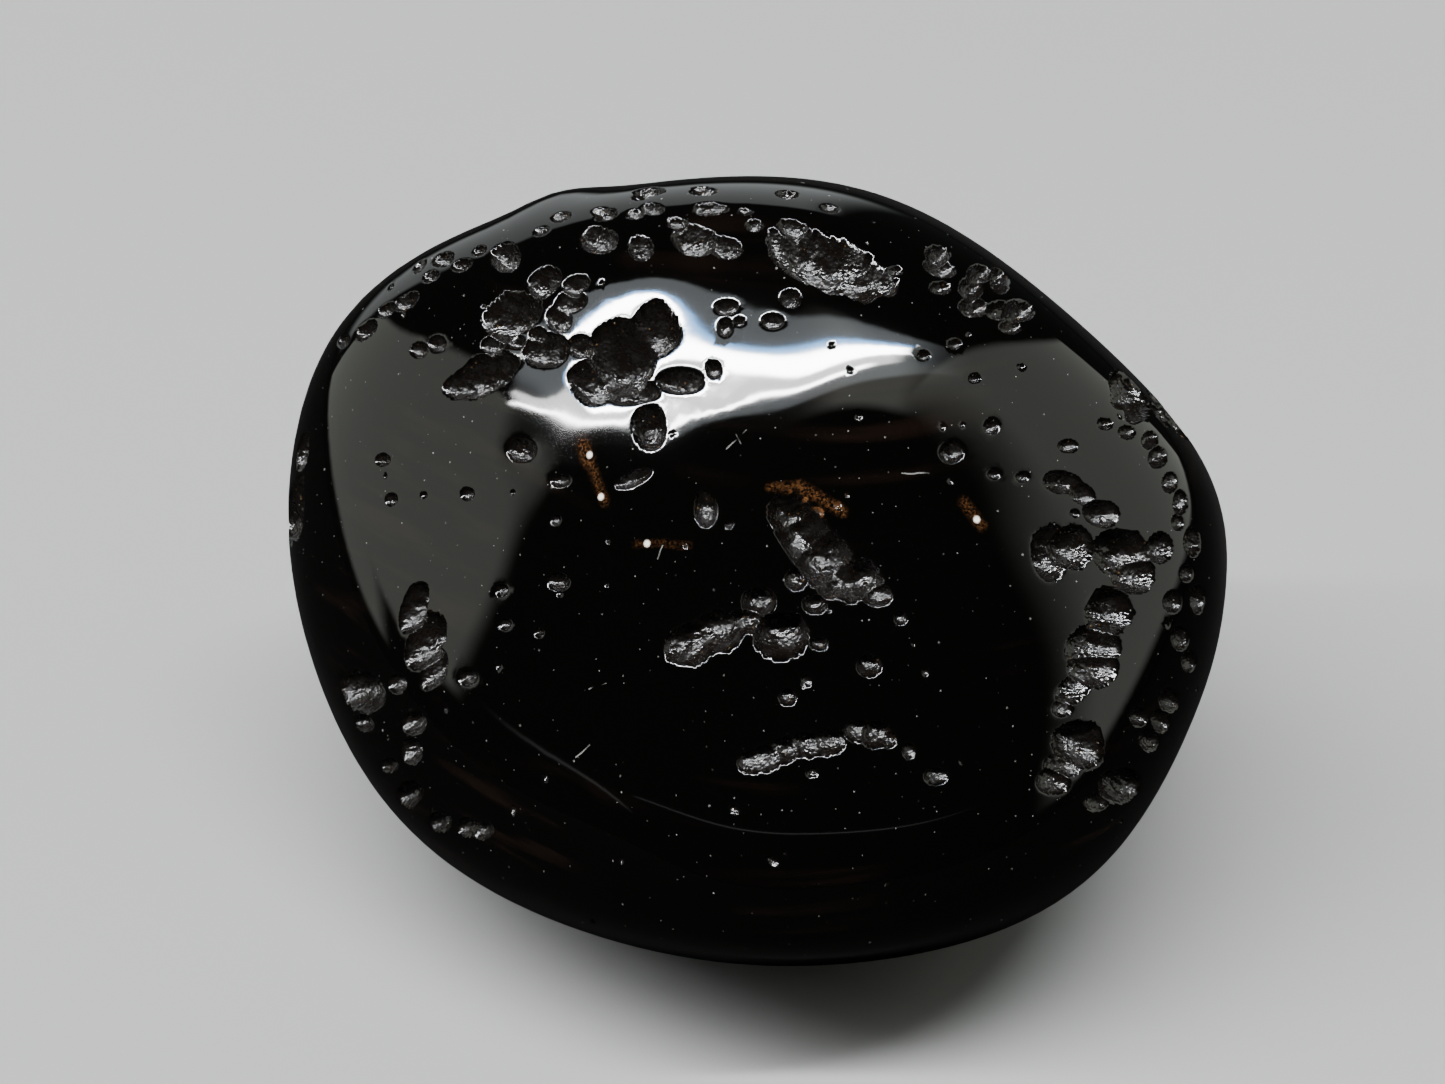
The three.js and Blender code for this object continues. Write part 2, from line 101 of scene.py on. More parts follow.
def make_camera():
    data = bpy.data.cameras.new("camera")
    data.sensor_width = SENSOR_MM
    data.lens = SENSOR_MM * CAMERA_DISTANCE * PX_PER_MM / IMAGE_WIDTH_PX
    data.clip_start = MM
    camera = bpy.data.objects.new("camera", data)
    axes = Matrix((LOOK_RIGHT, LOOK_UP, LOOK_BACK)).transposed().to_4x4()
    camera.matrix_world = Matrix.Translation(EYE * MM) @ axes
    bpy.context.scene.collection.objects.link(camera)
    bpy.context.scene.camera = camera
    return camera


print("lens, mm:", round(make_camera().data.lens, 1))

# %% [markdown]
# ## The worn skin
#
# Tumbling wears a lump down to broad, almost flat faces that turn softly into each other. A box could be
# bevelled and smoothed to look so, but then no face stays where it was put. Here each face is a plane at
# some reach from the middle. A sum of high powers of the planes blends them: near the middle of a face
# only that face counts, and near a ridge the two share the bend.

# %% Worn faces: turn, rise and reach in mm
WORN_FACES = {
    "front": (16.1, 35.2, 11.22),
    "left of front": (-41.4, 28, 10.36),
    "right of front": (47.1, 18.6, 16.9),
    "crown": (-7.2, 57.3, 15.17),
    "top": (172.5, 77, 15.4),
    "back": (180, 6, 15.7),
    "left of back": (-135, -5, 18.9),
    "right of back": (135, -5, 16.4),
    "underside": (0, -88, 13.3),
    "back undercut": (176, -48, 13.7),
    "right end": (80.5, 0.5, 20.5),
    "right shoulder": (109, 45.5, 14.7),
    "right crown": (120.5, 43.5, 16.5),
    "back crown": (-166, 51, 14.9),
    "left crown": (-136, 55.5, 17.8),
    "left end": (-90.5, 21.3, 21.89),
    "left flank": (-78.5, -16, 17.4),
    "right flank": (75, -17.5, 18.2),
    "left undercut": (-73.5, -42, 17.6),
    "right undercut": (77, -34.5, 16.9),
    "front undercut, left": (-30.5, -51, 14.3),
    "front undercut, right": (19, -55.5, 14.3),
}
ROUND_FORM = np.array([20.5, 18.5, 18.0])
RIDGE_SHARPNESS = 8
print("worn faces:", len(WORN_FACES))

# %% [markdown]
# ## Swells and ripples
#
# Gentle swells keep the skin from being as regular as a cut gem. Ripples of a few hundredths of a
# millimetre, too shallow to feel, bend the mirror images along the crown. A bump in the material could
# bend them too, but then the outline and the image wouldn't agree, so both are added to the skin itself,
# each as a soft mound or hollow.

# %% Swells and ripples: turn, rise and spread in degrees, height in mm
SWELLS = {
    "dip left of the crown": (-52.5, 67.5, 10, -0.4),
    "dip right of the crown": (6.5, 62, 9.5, -0.27),
    "dip behind the crown": (-9, 76.5, 10, -0.59),
    "dip round the crown bubbles": (-12, 55, 8, -0.13),
    "dip between the crown bubbles": (-29.5, 57, 6.5, -0.1),
    "ridge right of the crown": (26.5, 53, 9, 0.26),
    "right cheek": (35, 24.5, 12, 0.22),
    "swell low in the front": (-1.5, 4, 12.5, 0.23),
    "left waist": (-77.5, 13.5, 10, -0.08),
    "right waist": (83.5, 6, 7.5, -0.25),
    "hollow in the back": (165, 20, 16, -0.5),
    "hollow behind the left end": (-118, 5, 12, -0.4),
    "bulge behind the right end": (112, -8, 13, 0.4),
    "lump behind the left shoulder": (-123, 57, 4.5, 0.3),
}

RIPPLES = {
    "left of the crown bubbles": (-74.5, 51, 4, -0.035),
    "before the crown bubbles": (-10, 50.5, 6, -0.072),
    "top of the left shoulder": (-56.5, 69, 4, -0.013),
    "under the crown bubbles": (-10.5, 54, 4.5, 0.065),
    "front of the left shoulder": (-63, 40.5, 7, -0.032),
    "top, right": (11.5, 77.5, 5, -0.045),
    "left shoulder": (-68.5, 63.5, 4, -0.02),
    "top, left": (-36, 80, 4.5, -0.034),
}
print("swells:", len(SWELLS), " ripples:", len(RIPPLES))

# %% The skin
def skin_radius(directions):
    """Distance from the middle to the unbroken skin, mm."""
    total = np.linalg.norm(directions / ROUND_FORM, axis=-1) ** RIDGE_SHARPNESS
    for turn, rise, reach in WORN_FACES.values():
        lean = np.maximum(0, directions @ heading(turn, rise))
        total = total + (lean / reach) ** RIDGE_SHARPNESS
    radius = total ** (-1 / RIDGE_SHARPNESS)
    for turn, rise, spread, height in [*SWELLS.values(), *RIPPLES.values()]:
        angle = np.arccos(np.clip(directions @ heading(turn, rise), -1, 1)) / np.radians(spread)
        radius = radius + height * np.exp(-0.5 * angle**2)
    return radius


def skin_point(directions):
    return MIDDLE + directions * skin_radius(directions)[..., None]


for name in ("front", "top", "right end"):
    turn, rise, reach = WORN_FACES[name]
    print(name, "face: skin", skin_radius(heading(turn, rise)).round(2), "mm from the middle")

# %% Which way a surface faces
NORMAL_STEP = 0.004
NO_POLE = np.array([1e-9, 0, 0])


def side_steps(directions):
    """Two directions along the skin, square to each direction from the middle."""
    across = np.stack([-directions[..., 1], directions[..., 0], np.zeros(directions.shape[:-1])], axis=-1)
    across = unit(across + NO_POLE)
    return across, np.cross(directions, across)


def surface_normal(directions, surface, step):
    """Outward normal of a surface given by direction, from short steps either way along it."""
    across, up = side_steps(directions)
    a = surface(unit(directions + step * across)) - surface(unit(directions - step * across))
    b = surface(unit(directions + step * up)) - surface(unit(directions - step * up))
    return unit(np.cross(a, b))


print("the foremost skin faces", surface_normal(heading(0, 0), skin_point, NORMAL_STEP).round(2))

# %% [markdown]
# ## The bubbles
#
# Each burst bubble is a bowl with its own width, length, tilt and depth. Most sit in clusters that ran
# together while the glass was soft. Bowls could be placed by turn and rise like the swells, but an oval
# squashed by a slanting skin is hard to judge that way. On the front they are laid out on the drawing
# plane instead and dropped along the sight lines onto the skin, which keeps their outlines right where
# the skin turns away.

# %% Bubbles on the crown: depth for a width of 1; then x, y, width and height in mm, tilt in degrees
FRONT_CLUSTERS = {
    "crown, left": (0.45, [
        (-7.5, 10.2, 1.2, 0.9, 35), (-6.4, 10.1, 0.9, 0.6, 20), (-8.7, 9.0, 2.0, 1.4, 35),
        (-6.6, 9.5, 1.1, 0.7, 20), (-7.0, 8.9, 0.8, 0.9, 0), (-7.4, 7.8, 1.5, 1.1, 10),
        (-9.3, 8.0, 0.8, 0.6, 20), (-9.7, 6.9, 2.6, 1.2, 25),
    ]),
    "crown, middle": (0.5, [
        (-3.6, 8.5, 1.5, 1.8, 0), (-4.8, 7.6, 2.5, 2.2, 35), (-5.7, 6.7, 1.7, 1.5, 0),
        (-2.7, 6.7, 1.4, 0.8, 0), (-4.5, 6.3, 1.8, 0.8, 0), (-6.2, 7.9, 0.9, 0.7, 0),
    ]),
    "crown, right": (0.5, [
        (6.5, 10.7, 1.1, 0.6, -15), (6.4, 11.2, 0.8, 0.6, 0), (7.6, 10.0, 0.8, 0.7, 0),
        (7.9, 10.5, 0.8, 0.6, 0), (8.6, 10.3, 0.7, 0.9, 0), (7.7, 9.3, 1.0, 0.6, 0),
        (8.6, 9.2, 1.0, 0.6, 0), (9.3, 9.2, 1.0, 0.7, 0),
    ]),
    "long bubble on the top": (0.5, [
        (2.6, 10.9, 4.2, 1.8, -22), (1.3, 12.1, 1.0, 0.6, -15), (3.9, 10.2, 1.2, 0.7, -15),
    ]),
    "pair on the top": (0.5, [(-2.2, 11.7, 1.5, 1.0, -10), (-1.1, 11.4, 1.1, 0.7, -10)]),
    "back edge of the top": (0.5, [
        (-3.8, 13.4, 1.1, 0.4, 0), (-1.9, 13.4, 0.9, 0.3, 0), (1.1, 13.3, 0.8, 0.3, -5),
        (-1.7, 12.8, 1.1, 0.4, 0), (-5.3, 12.6, 0.8, 0.4, 10),
    ]),
}
print("clusters on the crown:", len(FRONT_CLUSTERS))

# %% Bubbles in the front and at the ends
FRONT_CLUSTERS |= {
    "long bubble in the front": (0.5, [
        (1.3, 1.9, 1.7, 1.4, -50), (1.7, 1.2, 2.5, 1.6, -55), (2.4, 0.4, 2.1, 1.7, -50),
        (3.1, -0.3, 1.5, 1.3, 0), (3.8, -0.3, 1.2, 1.2, 0), (2.6, -0.5, 0.8, 1.0, 0),
        (4.3, -0.9, 0.9, 0.7, 0), (1.4, -0.3, 0.7, 0.7, 0),
    ]),
    "knot in the front": (0.5, [
        (0.1, -1.1, 1.1, 1.0, 0), (0.9, -2.3, 1.8, 1.5, 0), (-0.2, -1.8, 0.8, 0.8, 0),
    ]),
    "bowl in the front": (0.4, [
        (-2.4, -2.6, 1.5, 1.3, 15), (-1.4, -2.2, 1.8, 1.3, 15), (-0.7, -1.9, 0.9, 0.8, 0),
    ]),
    "trench in the front": (0.5, [
        (-0.2, -6.8, 0.9, 0.7, 5), (0.3, -6.7, 1.1, 0.8, 5), (1.0, -6.4, 1.0, 0.8, 5),
        (1.7, -6.2, 1.0, 0.8, 5), (2.6, -6.1, 1.1, 0.8, 5), (3.6, -5.7, 0.9, 0.7, 5),
        (4.2, -5.8, 1.1, 0.8, 5),
    ]),
    "leaf on the left": (0.5, [
        (-12.1, -1.3, 0.8, 1.8, -20), (-11.7, -2.5, 1.1, 2.1, -20), (-11.4, -3.5, 0.8, 1.4, -20),
    ]),
    "low on the left": (0.5, [
        (-14.0, -4.3, 1.7, 1.3, -35), (-12.1, -5.4, 0.8, 0.8, 0), (-12.2, -6.4, 0.7, 0.9, 0),
        (-12.3, -7.9, 0.9, 0.9, -30), (-11.2, -8.9, 0.8, 0.7, 0), (-10.2, -9.1, 0.9, 0.6, 0),
    ]),
    "left end of the top": (0.5, [
        (-11.1, 11.0, 0.8, 0.5, 25), (-12.4, 9.5, 0.9, 0.5, 35), (-13.8, 8.5, 0.9, 0.5, 40),
    ]),
    "high on the right": (0.5, [
        (10.4, 0.6, 1.2, 1.8, 0), (11.2, 0.8, 1.3, 1.4, 0), (12.9, 0.6, 1.9, 1.6, -20),
        (13.3, -0.1, 1.4, 1.3, -20), (14.3, 0.8, 0.8, 1.0, 0), (10.8, 3.1, 1.2, 0.7, -10),
        (12.2, 2.0, 1.2, 0.9, -10),
    ]),
    "low on the right": (0.5, [
        (12.5, -1.5, 1.5, 1.6, 0), (11.9, -2.7, 1.8, 1.4, 20), (11.9, -3.5, 1.6, 1.2, 0),
        (11.2, -4.2, 1.3, 0.8, 35), (11.4, -6.2, 1.6, 1.6, 0), (10.9, -6.9, 1.2, 0.8, 0),
        (12.9, -7.6, 1.3, 1.1, 20),
    ]),
}
print("clusters so far:", len(FRONT_CLUSTERS))

# %% Single and small bubbles
FRONT_CLUSTERS |= {
    "single bubbles": (0.5, [
        (-3.8, 5.1, 1.1, 1.4, 0), (-8.3, 4.3, 1.0, 0.8, 0), (-4.3, 3.3, 1.2, 0.5, 25),
        (-1.8, 2.1, 0.7, 1.1, 0), (-8.9, 11.1, 1.0, 1.0, 0), (-5.6, 11.7, 1.2, 0.9, 0),
        (-4.1, 11.4, 0.8, 0.8, 0), (0.6, 8.8, 0.8, 0.5, 0), (4.0, -3.4, 0.8, 0.7, 0),
        (6.9, 4.2, 0.8, 0.7, 0), (-7.0, -0.4, 0.7, 0.6, 0),
    ]),
    "small bubbles, crown": (0.5, [
        (-7.7, 8.3, 0.6, 0.5, 0), (-8.5, 8.1, 0.6, 0.5, 0), (-1.5, 7.1, 0.5, 0.5, 0),
        (-1.1, 9.3, 0.8, 0.5, 0), (-1.1, 8.6, 0.5, 0.6, 0), (-0.6, 8.8, 0.4, 0.3, 0),
        (1.2, 9.6, 0.7, 0.6, 0), (4.9, 10.6, 0.5, 0.3, 0), (-2.8, 12.3, 0.7, 0.4, 0),
        (6.5, 10.0, 0.7, 0.4, 0), (9.0, 8.6, 0.7, 0.4, 0), (-11.3, 8.0, 0.6, 0.5, 0),
        (-11.9, 7.8, 0.6, 0.5, 0), (-10.4, 10.8, 0.7, 0.4, 20), (-13.1, 9.2, 0.7, 0.4, 35),
        (-3.7, 12.8, 0.8, 0.4, 0), (-0.1, 12.2, 0.6, 0.4, 0), (-4.3, 12.6, 0.6, 0.3, 0),
    ]),
    "small bubbles, front": (0.5, [
        (-6.9, 3.2, 0.6, 0.4, 0), (2.2, -2.6, 0.6, 0.4, 0), (2.1, -1.2, 0.8, 0.6, 0),
        (1.1, -4.5, 0.6, 0.5, 0), (5.4, -6.4, 0.4, 0.5, 0), (6.4, -7.3, 0.8, 0.5, 0),
        (-8.9, -1.9, 0.4, 0.4, 0), (-9.0, -0.7, 0.4, 0.4, 0), (5.1, -1.7, 0.4, 0.4, 0),
        (4.7, -6.0, 0.5, 0.5, 0), (-7.1, 1.8, 0.3, 0.3, 0), (-7.7, -2.2, 0.3, 0.3, 0),
    ]),
    "small bubbles, left": (0.5, [
        (-13.2, 3.9, 0.5, 0.4, 0), (-12.9, 2.5, 0.4, 0.4, 0), (-10.2, 2.7, 0.4, 0.4, 0),
        (-10.2, -3.8, 0.6, 0.5, 0), (-12.7, -4.0, 0.6, 0.6, 0), (-13.9, -5.4, 0.7, 0.5, -35),
        (-13.0, -6.9, 0.6, 0.5, 0), (-9.7, -9.2, 0.7, 0.6, 0),
    ]),
    "small bubbles, right": (0.5, [
        (8.3, 5.1, 0.5, 0.5, 0), (12.3, 5.2, 0.5, 0.4, 0), (11.0, 4.4, 0.6, 0.4, 0),
        (13.1, 4.9, 0.5, 0.4, 0), (11.5, 2.7, 0.9, 0.6, -30), (10.8, -4.9, 0.6, 0.5, 0),
        (10.5, -7.5, 1.0, 0.8, 0), (12.0, -8.2, 0.8, 0.5, 0), (13.5, -5.2, 0.6, 0.6, 0),
        (14.3, -5.3, 0.6, 0.8, 0), (9.4, 3.3, 0.4, 0.3, 0), (8.4, 3.4, 0.4, 0.3, 0),
        (7.7, 6.8, 0.4, 0.3, 0), (5.9, 7.6, 0.4, 0.3, 0), (7.0, 8.0, 0.4, 0.3, 0),
    ]),
    "squashed on the back of the top": (0.4, [
        (-5.5, 12.7, 0.7, 0.3, 10), (-4.1, 13.2, 0.6, 0.25, 5), (-3.6, 13.45, 0.6, 0.2, 0),
        (-2.0, 13.5, 0.6, 0.2, 0), (-1.3, 12.8, 0.6, 0.25, 0), (-0.4, 12.7, 0.5, 0.2, 0),
        (-6.9, 12.5, 0.7, 0.3, 15), (-7.6, 12.0, 0.5, 0.25, 20), (2.6, 12.8, 0.6, 0.25, -10),
        (-11.5, 10.4, 0.6, 0.35, 30), (-14.6, 8.1, 0.5, 0.4, 50), (-9.8, 11.3, 0.5, 0.3, 25),
    ]),
    "rough band at the right end": (0.4, [
        (12.8, 6.0, 0.6, 0.5, -50), (13.3, 5.5, 0.6, 0.5, -50), (13.9, 4.6, 0.5, 0.6, -30),
        (14.2, 4.0, 0.6, 0.7, -20), (14.6, 3.1, 0.5, 0.7, -10), (15.0, 2.4, 0.5, 0.8, 0),
        (15.4, 1.0, 0.5, 0.9, 0), (15.6, -1.0, 0.5, 0.9, 0), (15.0, -2.4, 0.6, 0.8, 0),
        (15.3, -3.2, 0.5, 0.7, 0), (14.7, -1.1, 0.6, 0.7, 0), (14.6, -4.6, 0.7, 0.8, 15),
        (13.9, -6.0, 0.7, 0.7, 20), (14.9, 1.7, 0.4, 0.5, 0), (15.2, -0.1, 0.4, 0.5, 0),
    ]),
}
front_bowls = sum(len(rows) for _, rows in FRONT_CLUSTERS.values())
print("all front clusters:", len(FRONT_CLUSTERS), "with", front_bowls, "bowls")

# %% One bowl
class Bowl:
    """A burst bubble: where it is, its two half axes along the skin, and its depth."""

    def __init__(self, direction, across, along, depth_share):
        self.direction = direction
        self.centre = skin_point(direction)
        self.across, self.along = across, along
        lengths = np.linalg.norm(across), np.linalg.norm(along)
        self.reach = max(lengths)
        self.span = 2 * min(lengths)
        self.depth = self.span * depth_share
        axes = np.stack([across, along])
        self.to_shares = np.linalg.inv(axes @ axes.T) @ axes

    def shares(self, points):
        """Place of each skin point in the bowl: its rim is at length 1."""
        return (points - self.centre) @ self.to_shares.T


sample = Bowl(heading(0, 0), np.array([1.0, 0, 0]), np.array([0, 0, 0.7]), depth_share=0.5)
print("a bowl 2 mm long and 1.4 mm wide is", round(sample.depth, 2), "mm deep")

# %% From the drawing plane to the skin
SEARCH_REACH, SEARCH_STEPS, SEARCH_HALVINGS = 26.0, 60, 30


def height_over_skin(point):
    spoke = point - MIDDLE
    return np.linalg.norm(spoke) - skin_radius(unit(spoke))


def drop_on_skin(x, y):
    """Direction from the middle of the first skin point on the sight line through a drawing point."""
    start = drawing_point(x, y)
    line = unit(start - EYE)
    step = 2 * SEARCH_REACH / SEARCH_STEPS
    inner = -SEARCH_REACH
    while height_over_skin(start + inner * line) > 0:
        inner += step
    outer = inner - step
    for _ in range(SEARCH_HALVINGS):
        half = (outer + inner) / 2
        if height_over_skin(start + half * line) > 0:
            outer = half
        else:
            inner = half
    return unit(start + inner * line - MIDDLE)


print("the drawing's middle lands at", skin_point(drop_on_skin(0, 0)).round(2), "mm")

# %% Bowls in the front
MOST_STRETCH = 2.2  # of a bowl whose skin slants away from the eye


def laid_on_skin(vector, normal, sight):
    """A drawing vector laid on the skin so that it looks the same from the eye."""
    facing = max(sight @ normal, 1 / MOST_STRETCH)
    laid = vector - sight * (vector @ normal) / facing
    return laid - normal * (laid @ normal)


def front_bowl(x, y, width, height, tilt, depth_share):
    direction = drop_on_skin(x, y)
    normal = surface_normal(direction, skin_point, NORMAL_STEP)
    sight = unit(EYE - skin_point(direction))
    cos, sin = np.cos(np.radians(tilt)), np.sin(np.radians(tilt))
    wide = laid_on_skin((cos * LOOK_RIGHT + sin * LOOK_UP) * width / 2, normal, sight)
    high = laid_on_skin((cos * LOOK_UP - sin * LOOK_RIGHT) * height / 2, normal, sight)
    return Bowl(direction, wide, high, depth_share)


bowls = [front_bowl(*row, share) for share, rows in FRONT_CLUSTERS.values() for row in rows]
print("front bowls:", len(bowls), " deepest:", round(max(bowl.depth for bowl in bowls), 2), "mm")

# %% [markdown]
# ## Bubbles on the far sides
#
# The back and the underside carry the same kind of bubbles. They could be placed by hand too, but nobody
# knows where they are, so they are strewn: a seeded count puts some in clusters, each a short uneven
# trail, and some singly. The same seed gives the same stone each time.

# %% Repeatable numbers
FAR_SEED = 41


def number_source(seed, factor=16807, prime=2147483647):
    """Repeatable numbers from 0 to 1, by multiplying and keeping the remainder."""
    state = seed
    while True:
        state = state * factor % prime
        yield state / prime


first_numbers = number_source(FAR_SEED)
print("the count starts with", [round(next(first_numbers), 3) for _ in range(3)])

# %% One far bowl
FAR_LENGTH = 1.25  # for a width of 1
FAR_DEPTH = 0.42


def skin_axes(direction, lie):
    """Vectors along the skin: towards the slope called lie, and square to it."""
    normal = surface_normal(direction, skin_point, NORMAL_STEP)
    east = unit(np.array([-normal[1], normal[0], 0.0]))
    north = np.cross(normal, east)
    forward = east * np.cos(np.radians(lie)) + north * np.sin(np.radians(lie))
    return forward, np.cross(normal, forward)


def far_bowl(direction, lie, width):
    forward, sideways = skin_axes(direction, lie)
    return Bowl(direction, forward * width * FAR_LENGTH / 2, sideways * width / 2, FAR_DEPTH)


print("a far bowl 1 mm wide is", round(far_bowl(heading(180, 0), 0, 1.0).depth, 2), "mm deep")

# %% Far clusters: turn and rise of the middle, how many, largest width in mm, and the way the trail runs
FAR_CLUSTERS = [
    (88, 24, 6, 1.9, -60), (98, -20, 5, 2.1, -100), (126, 14, 6, 2.2, 30), (152, -22, 4, 1.8, 10),
    (178, 36, 7, 2.3, 160), (-166, 4, 5, 2.5, -70), (-136, 32, 6, 2.0, -40), (-126, -16, 5, 2.2, 200),
    (-98, 8, 5, 1.8, 100), (-92, -34, 4, 1.6, -20), (166, -46, 4, 1.8, 180), (112, -40, 4, 1.7, 20),
]
FAR_SPACING = 0.5  # of the largest width, from one bowl to the next
FAR_SCATTER = 0.55
FAR_LEAST = 0.4  # the least width, for a largest width of 1


def far_cluster(turn, rise, count, size, lie, numbers):
    start = heading(turn, rise)
    forward, sideways = skin_axes(start, lie)
    radius = skin_radius(start)
    cluster = []
    for i in range(count):
        width = size * (1 - (1 - FAR_LEAST) * next(numbers))
        ahead = (i - (count - 1) / 2) * FAR_SPACING + (next(numbers) - next(numbers)) * FAR_SCATTER
        aside = (next(numbers) - next(numbers)) * FAR_SCATTER
        direction = unit(start + (forward * ahead + sideways * aside) * size / radius)
        cluster.append(far_bowl(direction, 180 * next(numbers), width))
    return cluster


numbers = number_source(FAR_SEED)
for cluster in FAR_CLUSTERS:
    bowls += far_cluster(*cluster, numbers)
print("with the far clusters:", len(bowls), "bowls")

# %% Single bubbles on the far sides
FAR_SINGLES = 26
SINGLE_LEAST, SINGLE_MOST = 0.6, 1.3
SINGLE_FACING = 0.2  # straight towards the camera is 1
SINGLE_LOWEST = -0.7  # straight down is -1


def far_singles(numbers):
    singles = []
    while len(singles) < FAR_SINGLES:
        z = 2 * next(numbers) - 1
        turn = 2 * np.pi * next(numbers)
        level = np.sqrt(1 - z * z)
        direction = np.array([np.sin(turn) * level, -np.cos(turn) * level, z])
        if direction @ LOOK_BACK < SINGLE_FACING and z > SINGLE_LOWEST:
            width = SINGLE_LEAST + (SINGLE_MOST - SINGLE_LEAST) * next(numbers) ** 2
            singles.append(far_bowl(direction, 180 * next(numbers), width))
    return singles


bowls += far_singles(numbers)
print("all bowls:", len(bowls), " widest:", round(max(bowl.span for bowl in bowls), 2), "mm")

# %% [markdown]
# ## Smaller marks
#
# A broken bubble shows still smaller ones in its wall, which make its floor lumpy, and the whole skin is
# peppered with pinholes where the tumbling just touched a gas bead. A bump in the material could fake
# both, but bumps have no outline and catch no shadow, so they are real bowls, only smaller. Both are
# seeded.

# %% Bubbles in the floors of bowls
FLOOR_SEED = 7
FLOOR_FROM_SPAN = 0.7  # mm: narrower bowls get none
FLOOR_SHARE = (0.2, 0.42)  # of the bowl's width
FLOOR_LENGTH, FLOOR_DEPTH = 1.2, 0.16  # for a width of 1
FLOOR_PER_LENGTH = 3
FLOOR_FARTHEST_OUT = 0.8  # the bowl's rim is at 1


def floor_bowls(bowl, chance):
    """Smaller bubbles broken open in the wall of a bowl: the longer the bowl, the more of them."""
    children = []
    for _ in range(int(1 + FLOOR_PER_LENGTH * bowl.reach / (bowl.span / 2))):
        angle, out = 2 * np.pi * chance.random(), FLOOR_FARTHEST_OUT * np.sqrt(chance.random())
        place = bowl.centre + out * (np.cos(angle) * bowl.across + np.sin(angle) * bowl.along)
        width = bowl.span * chance.uniform(*FLOOR_SHARE)
        direction = unit(place - MIDDLE)
        forward, sideways = skin_axes(direction, 180 * chance.random())
        half_axes = forward * width * FLOOR_LENGTH / 2, sideways * width / 2
        children.append(Bowl(direction, *half_axes, FLOOR_DEPTH))
    return children


chance = np.random.default_rng(FLOOR_SEED)
in_floors = [child for bowl in bowls if bowl.span > FLOOR_FROM_SPAN for child in floor_bowls(bowl, chance)]
print("bubbles in floors:", len(in_floors))

# %% Pinholes
PINHOLES = 230
PINHOLE_WIDTH = (0.1, 0.3)
PINHOLE_SEED = 19


def pinhole(chance):
    """A gas bead that was just touched. Cubing the draw keeps most of them small."""
    direction = unit(chance.normal(size=3))
    width = PINHOLE_WIDTH[0] + (PINHOLE_WIDTH[1] - PINHOLE_WIDTH[0]) * chance.random() ** 3
    return far_bowl(direction, 180 * chance.random(), width)


chance = np.random.default_rng(PINHOLE_SEED)
pinholes = [pinhole(chance) for _ in range(PINHOLES)]
print("pinholes:", len(pinholes))

# %% [markdown]
# ## How deep the skin is broken
#
# A bowl's section is round in the middle and steep at the rim, and the rim itself is rounded by a few
# hundredths of a millimetre: that rounding is what draws the thin bright line round each bubble. Balls
# could be cut out with Boolean modifiers, but hundreds of cuts are slow and leave knife edges and sliver
# faces. Here every point of the skin is pushed in by the depth of the bowls over it. Where bowls overlap,
# the deeper one wins, which leaves a thin wall standing between them.

# %% Smooth random lumps
WAVES = 14
WAVE_SEED = 3
WAVE_SPREAD = (0.7, 1.5)
RAGGED_WAVE = 1.3
LUMP_WAVE = 0.6


def make_waves(length, seed):
    """Wave vectors and phases of a smooth random field with lumps of about this length."""
    chance = np.random.default_rng(seed)
    vectors = unit(chance.normal(size=(WAVES, 3))) * (2 * np.pi / length)
    return vectors * chance.uniform(*WAVE_SPREAD, size=(WAVES, 1)), chance.uniform(0, 2 * np.pi, WAVES)


def lumps(points, waves):
    vectors, phases = waves
    return np.sin(points @ vectors.T + phases).sum(axis=-1) / np.sqrt(WAVES / 2)


outline_waves = make_waves(RAGGED_WAVE, WAVE_SEED)
lump_waves = make_waves(LUMP_WAVE, WAVE_SEED + 1)
print("lump at the middle:", lumps(MIDDLE, lump_waves).round(2))

# %% Points near a bowl
class SortedPoints:
    """Points in order of X, so that those near a bowl are found among a few."""

    def __init__(self, points):
        self.order = np.argsort(points[:, 0])
        self.points = points[self.order]

    def near(self, bowl, margin):
        """Numbers and places of the points within some bowl reaches of its centre."""
        reach = margin * bowl.reach
        first, last = np.searchsorted(self.points[:, 0], [bowl.centre[0] - reach, bowl.centre[0] + reach])
        band = self.points[first:last]
        close = np.flatnonzero(((band - bowl.centre) ** 2).sum(axis=-1) < reach**2)
        return self.order[first + close], band[close]


longest = max(bowls, key=lambda bowl: bowl.reach)
centres = SortedPoints(np.array([bowl.centre for bowl in bowls]))
print("the longest bowl has", len(centres.near(longest, 1.0)[0]) - 1, "others within its reach")

# %% Depth of the bowls
BOWL_MARGIN = 1.6
SECTION_POWER = 0.6  # 0.5 would be half a ball, 1 a dish with a gentle rim
OUTER_SLOPE = 3.0
RIM_ROUNDING, WALL_ROUNDING = 0.036, 0.03
RAGGED, LUMP_HEIGHT = 0.045, 0.012
WELL_IN = 0.15  # mm deep, where the lumps of the floor reach their full height
UNBROKEN = -1.0  # stands for skin with no bowl near


def soft_max(a, b, rounding):
    return 0.5 * (a + b + np.sqrt((a - b) ** 2 + rounding**2))


